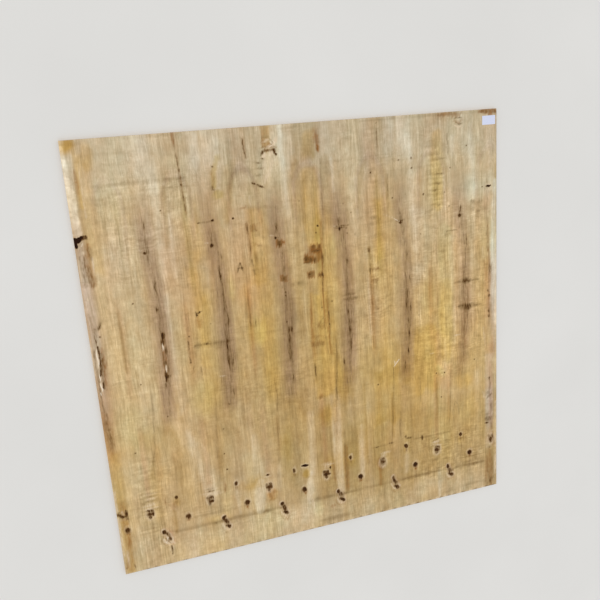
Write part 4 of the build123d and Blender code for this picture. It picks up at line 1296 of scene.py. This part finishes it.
def face_material():
    """The weathered face: the wood with its tints and its grain, and then the paints over it, a few of which
    are painted shadow and painted highlight.
    """
    nodes = Nodes("face_veneer")
    x, y, _, across, deep = log_space(nodes, 18.0)

    def grain(wide, long, detail=2.0, rough=0.5):
        return fibres(nodes, across, deep, y, wide, long, detail, rough)

    def drift(wide, tall, seed, detail, rough=0.6, up=y):
        return nodes.drift(x, up, wide, tall, seed, detail, rough)

    def swing(noise, amount):
        """A factor about 1 that follows a noise."""
        return nodes.scaled(nodes.maths("SUBTRACT", noise, 0.5), amount, 1.0)

    fibre = grain(22.0, 300.0, 6.0, 0.66)
    thread = grain(4.8, 80.0, 3.0, 0.62)
    hair = grain(0.9, 26.0)
    fray = nodes.spread(grain(2.6, 14.0, 3.0), 0.34, 0.66)
    dash = grain(1.9, 60.0, 3.0)
    bands = nodes.noise_line(nodes.field("ring"), 9.0, 4.0)
    ripple = nodes.field("ripple")
    mottle = drift(23.0, 25.0, 37.0, 4.0, 0.7)
    blot = drift(42.0, 58.0, 3.0, 6.0, 0.72)
    tint = drift(30.0, 50.0, 11.0, 4.0)
    patch = nodes.spread(drift(120.0, 170.0, 17.0, 2.0), 0.36, 0.64)
    patch_of_waves = nodes.spread(drift(110.0, 60.0, 23.0, 3.0), 0.42, 0.66)
    chatter = drift(17.0, 4.6, 5.0, 3.0, up=nodes.scaled(drift(60.0, 90.0, 31.0, 2.0), 30.0, y))
    waves = drift(60.0, 9.0, 7.0, 4.0, up=nodes.scaled(drift(130.0, 210.0, 29.0, 2.0), 60.0, y))

    def shaded(paint, light):
        """A paint under lighter and darker fibres: the darker ones are browner too."""
        return nodes.shade(paint, nodes.maths("POWER", light, 0.88), light, nodes.maths("POWER", light, 1.22))

    def broken(name, amount):
        """A paint whose faded parts are broken up along the grain."""
        value = nodes.field(name)
        faded = nodes.times(nodes.maths("SUBTRACT", 1.0, value), amount)
        return nodes.times(value, swing(fray, faded), clamp=True)

    warm = nodes.maths("ADD", nodes.field("warm"), nodes.scaled(tint, 0.3, -0.15))
    straw = nodes.ramp(warm, (0.0, GREY_STRAW), (0.5, STRAW), (1.0, GOLD))
    blush = nodes.maths("ADD", nodes.field("blush"), nodes.scaled(tint, 1.2, -0.6))
    redder, greener = [nodes.scaled(blush, amount, 1.0) for amount in (BLUSH_RED, BLUSH_GREEN)]
    straw = nodes.shade(straw, redder, greener, 1.0)

    toned = nodes.maths("MAXIMUM", nodes.scaled(nodes.field("tone"), TONE_LIGHT, 1.0), DARKEST)
    lines = nodes.scaled(patch, 0.45, 0.58)
    knife = nodes.scaled(patch_of_waves, 0.4, nodes.times(ripple, 0.5))
    worn = nodes.scaled(patch, 0.4, nodes.scaled(ripple, 0.5, 0.3))
    chattered = nodes.times(patch_of_waves, nodes.scaled(ripple, 0.75, 0.12))
    mottled = nodes.scaled(ripple, 0.7, 0.42)
    grained = nodes.times(swing(fibre, lines), swing(thread, worn), swing(hair, 0.37), swing(fray, 0.1))
    knifed = nodes.times(swing(waves, knife), swing(chatter, chattered))
    light = nodes.times(grained, knifed, toned, swing(blot, 0.5), swing(mottle, mottled), swing(bands, 0.3))
    wood = shaded(straw, light)

    grey = broken("grey", 1.2)
    wood = nodes.mix(nodes.times(grey, 0.82), wood, shaded(STREAK, light))
    dashes = nodes.times(nodes.spread(dash, 0.54, 0.68), nodes.times(grey, 0.6))
    wood = nodes.mix(dashes, wood, STREAK_DASH)
    gleams = nodes.times(nodes.spread(dash, 0.42, 0.3), nodes.times(grey, 0.5))
    wood = nodes.mix(gleams, wood, STREAK_GLEAM)
    contrast = nodes.times(swing(fray, 0.45), swing(fibre, 0.8), swing(thread, 0.9))
    wood = nodes.mix(broken("rust", 1.4), wood, shaded(RUST, contrast))
    # Pale wood, with the painted highlights that pale also holds
    wood = nodes.mix(broken("pale", 1.2), wood, shaded(PALE, swing(fray, 0.15)))
    # Umber stains, with the painted shadow that umber also holds
    stain_and_shade = broken("umber", 1.6)
    wood = nodes.mix(nodes.times(stain_and_shade, 1.3, clamp=True), wood, nodes.ramp(stain_and_shade, *UMBERS))

    relief = nodes.scaled(hair, 0.4, nodes.times(waves, nodes.times(ripple, 0.8)))
    relief = nodes.maths("ADD", relief, nodes.times(fray, 0.15))
    relief = nodes.maths("SUBTRACT", relief, nodes.times(dashes, 0.8))
    return nodes.surface(wood, 0.72, relief, specular=0.12)


def edge_material(name, end_plies):
    """The sawn edge. end_plies says which plies show their end grain there: the even or the odd ones."""
    nodes = Nodes(name)
    x, y, z, _, _ = log_space(nodes)
    along = nodes.maths("ADD", x, y)
    coarse = nodes.drift(along, z, 12.0, 1.0, 0.0, 4.0)
    pores = nodes.drift(along, z, 0.8, 0.5, 0.0, 2.0)
    end, side = colour(150, 112, 68), colour(204, 174, 126)
    starts = (0.0, *reversed(PLY_LEVELS))
    plies = [(start / THICK, end if number % 2 == end_plies else side) for number, start in enumerate(starts)]
    layers = nodes.ramp(nodes.maths("DIVIDE", z, THICK), *plies, steps="CONSTANT")
    light = nodes.times(nodes.scaled(coarse, 0.5, 0.75), nodes.scaled(pores, 0.4, 0.8))
    return nodes.surface(nodes.shade(layers, light, light, light), 0.8, pores, strength=0.6, specular=0.2)


def back_material():
    """The plain veneer of the underside."""
    nodes = Nodes("back_veneer")
    _, y, _, across, deep = log_space(nodes)
    broad = fibres(nodes, across, deep, y, 9.0, 400.0)
    fine = fibres(nodes, across, deep, y, 2.2, 110.0, 3.0)
    straw = nodes.ramp(broad, (0.3, colour(198, 178, 146)), (0.7, colour(186, 158, 114)))
    light = nodes.scaled(fine, 0.3, 0.85)
    return nodes.surface(nodes.shade(straw, light, light, light), 0.75, fine)


def new_object(name, vertices, faces):
    """A mesh object from millimetres counted from the sheet's lower left corner and its underside."""
    mesh = bpy.data.meshes.new(name)
    points = np.asarray(vertices) * MM + np.array(low_corner)
    mesh.from_pydata([tuple(point) for point in points], [], faces)
    piece = bpy.data.objects.new(name, mesh)
    bpy.context.scene.collection.objects.link(piece)
    return piece


# Faces that meet at a sharper angle than this, in degrees, keep a hard edge between them
HARD_EDGE = 35


def make_sheet():
    vertices, faces, kinds, paints = sheet_mesh()
    piece = new_object("plywood_sheet", vertices, faces)
    mesh = piece.data
    materials = {
        ON_FACE: face_material(),
        ON_SIDE_EDGE: edge_material("edge_left_right", 1),
        ON_END_EDGE: edge_material("edge_lower_upper", 0),
        ON_BACK: back_material(),
    }
    for kind in sorted(materials):
        mesh.materials.append(materials[kind])
    mesh.polygons.foreach_set("material_index", kinds)
    for name, values in paints.items():
        attribute = mesh.attributes.new(name, "FLOAT", "POINT")
        full = np.zeros(len(mesh.vertices), np.float32)
        full[:len(values)] = values
        attribute.data.foreach_set("value", full)
    mesh.shade_smooth()
    mesh.set_sharp_from_angle(angle=math.radians(HARD_EDGE))
    mesh.update()
    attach(piece, "root")
    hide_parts("sheet")


# The sticker's squares along each side, and in millimetres its paper, the gap under it and the lift of its
# corner
STICKER_STEPS = 12
PAPER = 0.08
PAPER_GAP = 0.01
PAPER_LIFT = 0.12
# Where the lift starts, as shares of the two sides added up
LIFT_START = 1.5


def make_sticker():
    """A small bare paper sticker, one corner a little lifted."""
    x0, x1, y0, y1 = STICKER
    steps = STICKER_STEPS
    across = steps + 1
    layer = across * across
    vertices, faces = [], []
    for height in (0.0, PAPER):
        for row in range(across):
            for column in range(across):
                u, v = column / steps, row / steps
                lift = PAPER_LIFT * max(0.0, u + v - LIFT_START) ** 2
                z = THICK + PAPER_GAP + height + lift
                vertices.append((x0 + (x1 - x0) * u, y0 + (y1 - y0) * v, z))
    for row in range(steps):
        for column in range(steps):
            a = row * across + column
            faces.append((a + layer, a + 1 + layer, a + across + 1 + layer, a + across + layer))
            faces.append((a, a + across, a + across + 1, a + 1))
    rim = [*range(steps)] + [steps + across * i for i in range(steps)]
    rim += [layer - 1 - i for i in range(steps)] + [across * (steps - i) for i in range(steps)]
    for a, b in zip(rim, rim[1:] + rim[:1]):
        faces.append((a, b, b + layer, a + layer))
    piece = new_object("paper_sticker", vertices, faces)
    nodes = Nodes("sticker_paper")
    pulp = nodes.noise(nodes.spot(), 900.0, 3.0)
    paper = nodes.ramp(pulp, (0.3, colour(203, 209, 235)), (0.7, colour(221, 226, 244)))
    piece.data.materials.append(nodes.surface(paper, 0.5, pulp, strength=0.2, reach=0.0001))
    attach(piece, "root")


# Loose splinters that stand up a little from the face: x, y, x, y of the ends, and the width
SPLINTERS = [
    (15, 685, 12.4, 628, 5.2), (13, 614, 11.6, 590, 3.2), (12, 590, 13.4, 560, 4.8), (9.6, 563, 8, 550, 2.2),
    (185.8, 673, 185.2, 648, 2.2), (187.6, 608, 186.6, 584, 1.8), (884, 504, 871, 491, 1.8),
    (871, 491, 864, 482, 1.6), (133, 88, 128, 78, 2.4), (129, 76, 123, 68, 2.2), (545, 1170, 538, 1184, 1.8),
    (524, 1164, 538, 1167, 1.8), (900, 922, 878, 937, 1.4), (538, 1168, 531, 1181, 1.4),
    (22, 966, 15, 955, 1.6),
]
SPLINTER_STEPS = 10
# Heights over the face in millimetres: the ridge's top, and the foot and the points, which are sunk in it
SPLINTER_RISE = 0.16
SPLINTER_FOOT = -0.1
SPLINTER_POINT = -0.05
# The ridge's place between the middle and one side, how far a splinter bends as a share of its width, and how
# its width swells between its points
RIDGE_SHARE = 0.2
BEND_SHARE = 0.3
SWELL = 0.7


def make_splinters():
    """One mesh of slivers, each a closed ridge that comes to a point at both ends."""
    vertices, faces = [], []
    for x0, y0, x1, y1, width in SPLINTERS:
        length = math.hypot(x1 - x0, y1 - y0)
        side_x, side_y = (y1 - y0) / length, (x0 - x1) / length
        first = len(vertices)
        for step in range(1, SPLINTER_STEPS):
            share = step / SPLINTER_STEPS
            half = width / 2 * math.sin(math.pi * share) ** SWELL
            bend = BEND_SHARE * width * math.sin(2 * math.pi * share)
            rise = SPLINTER_RISE * math.sin(math.pi * share)
            x = x0 + (x1 - x0) * share + side_x * bend
            y = y0 + (y1 - y0) * share + side_y * bend
            for reach, height in ((-1, SPLINTER_FOOT), (1, SPLINTER_FOOT), (RIDGE_SHARE, rise)):
                vertices.append((x + side_x * half * reach, y + side_y * half * reach, THICK + height))
        start, end = len(vertices), len(vertices) + 1
        vertices += [(x0, y0, THICK + SPLINTER_POINT), (x1, y1, THICK + SPLINTER_POINT)]
        last = start - 3
        for a in range(first, last, 3):
            faces += [(a, a + 3, a + 5, a + 2), (a + 2, a + 5, a + 4, a + 1), (a + 1, a + 4, a + 3, a)]
        faces += [(start, first, first + 2), (start, first + 2, first + 1), (start, first + 1, first)]
        faces += [(end, last + 2, last), (end, last + 1, last + 2), (end, last, last + 1)]
    piece = new_object("splinters", vertices, faces)
    nodes = Nodes("splinter_wood")
    _, y, _, across, deep = log_space(nodes)
    fine = fibres(nodes, across, deep, y, 0.9, 20.0)
    wood = nodes.ramp(fine, (0.3, colour(226, 204, 174)), (0.7, colour(252, 240, 222)))
    piece.data.materials.append(nodes.surface(wood, 0.75))
    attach(piece, "root")


# The floor's half width and how far it lies under the sheet, in metres
FLOOR_HALF = 14.0
FLOOR_DROP = 0.0005
# The light: how bright the surroundings are, and the sun's power, width and tilts in degrees
WORLD_STRENGTH = 0.62
SUN_POWER = 1.45
SUN_WIDTH = 20
SUN_TILTS = (-28, -30)


def make_floor():
    mesh = bpy.data.meshes.new("floor")
    corners = [(x * FLOOR_HALF, y * FLOOR_HALF, 0) for x, y in ((-1, -1), (1, -1), (1, 1), (-1, 1))]
    mesh.from_pydata(corners, [], [(0, 1, 2, 3)])
    floor = bpy.data.objects.new("floor", mesh)
    bpy.context.scene.collection.objects.link(floor)
    nodes = Nodes("floor_paint")
    cloudy = nodes.noise(nodes.spot(), 2.0, 3.0)
    paint = nodes.ramp(cloudy, (0.3, colour(222, 221, 218)), (0.7, colour(226, 225, 222)))
    mesh.materials.append(nodes.surface(paint, 0.9))
    floor.location.z = -FLOOR_DROP


def make_light():
    world = bpy.data.worlds.new("studio")
    bpy.context.scene.world = world
    world.use_nodes = True
    background = world.node_tree.nodes["Background"]
    background.inputs["Color"].default_value = (1.0, 1.0, 1.0, 1.0)
    background.inputs["Strength"].default_value = WORLD_STRENGTH
    lamp = bpy.data.lights.new("soft_sun", "SUN")
    lamp.energy = SUN_POWER
    lamp.angle = math.radians(SUN_WIDTH)
    sun = bpy.data.objects.new("soft_sun", lamp)
    sun.rotation_euler = (*[math.radians(tilt) for tilt in SUN_TILTS], 0)
    bpy.context.scene.collection.objects.link(sun)


def make_camera():
    """The camera from which the sheet's corners fall where they are in the picture."""
    rows = []
    for (across, up), (u, v) in CORNER_PIXELS.items():
        x = low_corner.x + across * WIDTH * MM
        y = low_corner.y + up * LENGTH * MM
        u, v = u - PICTURE / 2, v - PICTURE / 2
        rows.append([x, y, 1, 0, 0, 0, -u * x, -u * y, -u])
        rows.append([0, 0, 0, x, y, 1, -v * x, -v * y, -v])
    plane = np.linalg.svd(np.array(rows))[2][-1].reshape(3, 3)
    plane = np.diag([1 / FOCAL_PIXELS, 1 / FOCAL_PIXELS, 1.0]) @ plane
    plane /= (np.linalg.norm(plane[:, 0]) + np.linalg.norm(plane[:, 1])) / 2
    if plane[2, 2] < 0:
        plane = -plane
    axes = np.column_stack([plane[:, 0], plane[:, 1], np.cross(plane[:, 0], plane[:, 1])])
    left, _, right = np.linalg.svd(axes)
    turned = left @ right
    # The picture's corners lie on the face, which is one thickness above the floor
    place = Vector(-turned.T @ plane[:, 2]) + Vector((0, 0, high_corner.z))
    to_world = Matrix(turned.T @ np.diag([1.0, -1.0, -1.0]))
    lens = bpy.data.cameras.new("camera")
    lens.sensor_width = SENSOR_WIDTH
    lens.lens = FOCAL_PIXELS / PICTURE * SENSOR_WIDTH
    camera = bpy.data.objects.new("camera", lens)
    camera.matrix_world = Matrix.Translation(place) @ to_world.to_4x4()
    bpy.context.scene.collection.objects.link(camera)
    bpy.context.scene.camera = camera


make_sheet()
make_sticker()
make_splinters()
make_floor()
make_light()
make_camera()
bpy.context.scene.view_settings.view_transform = "Standard"
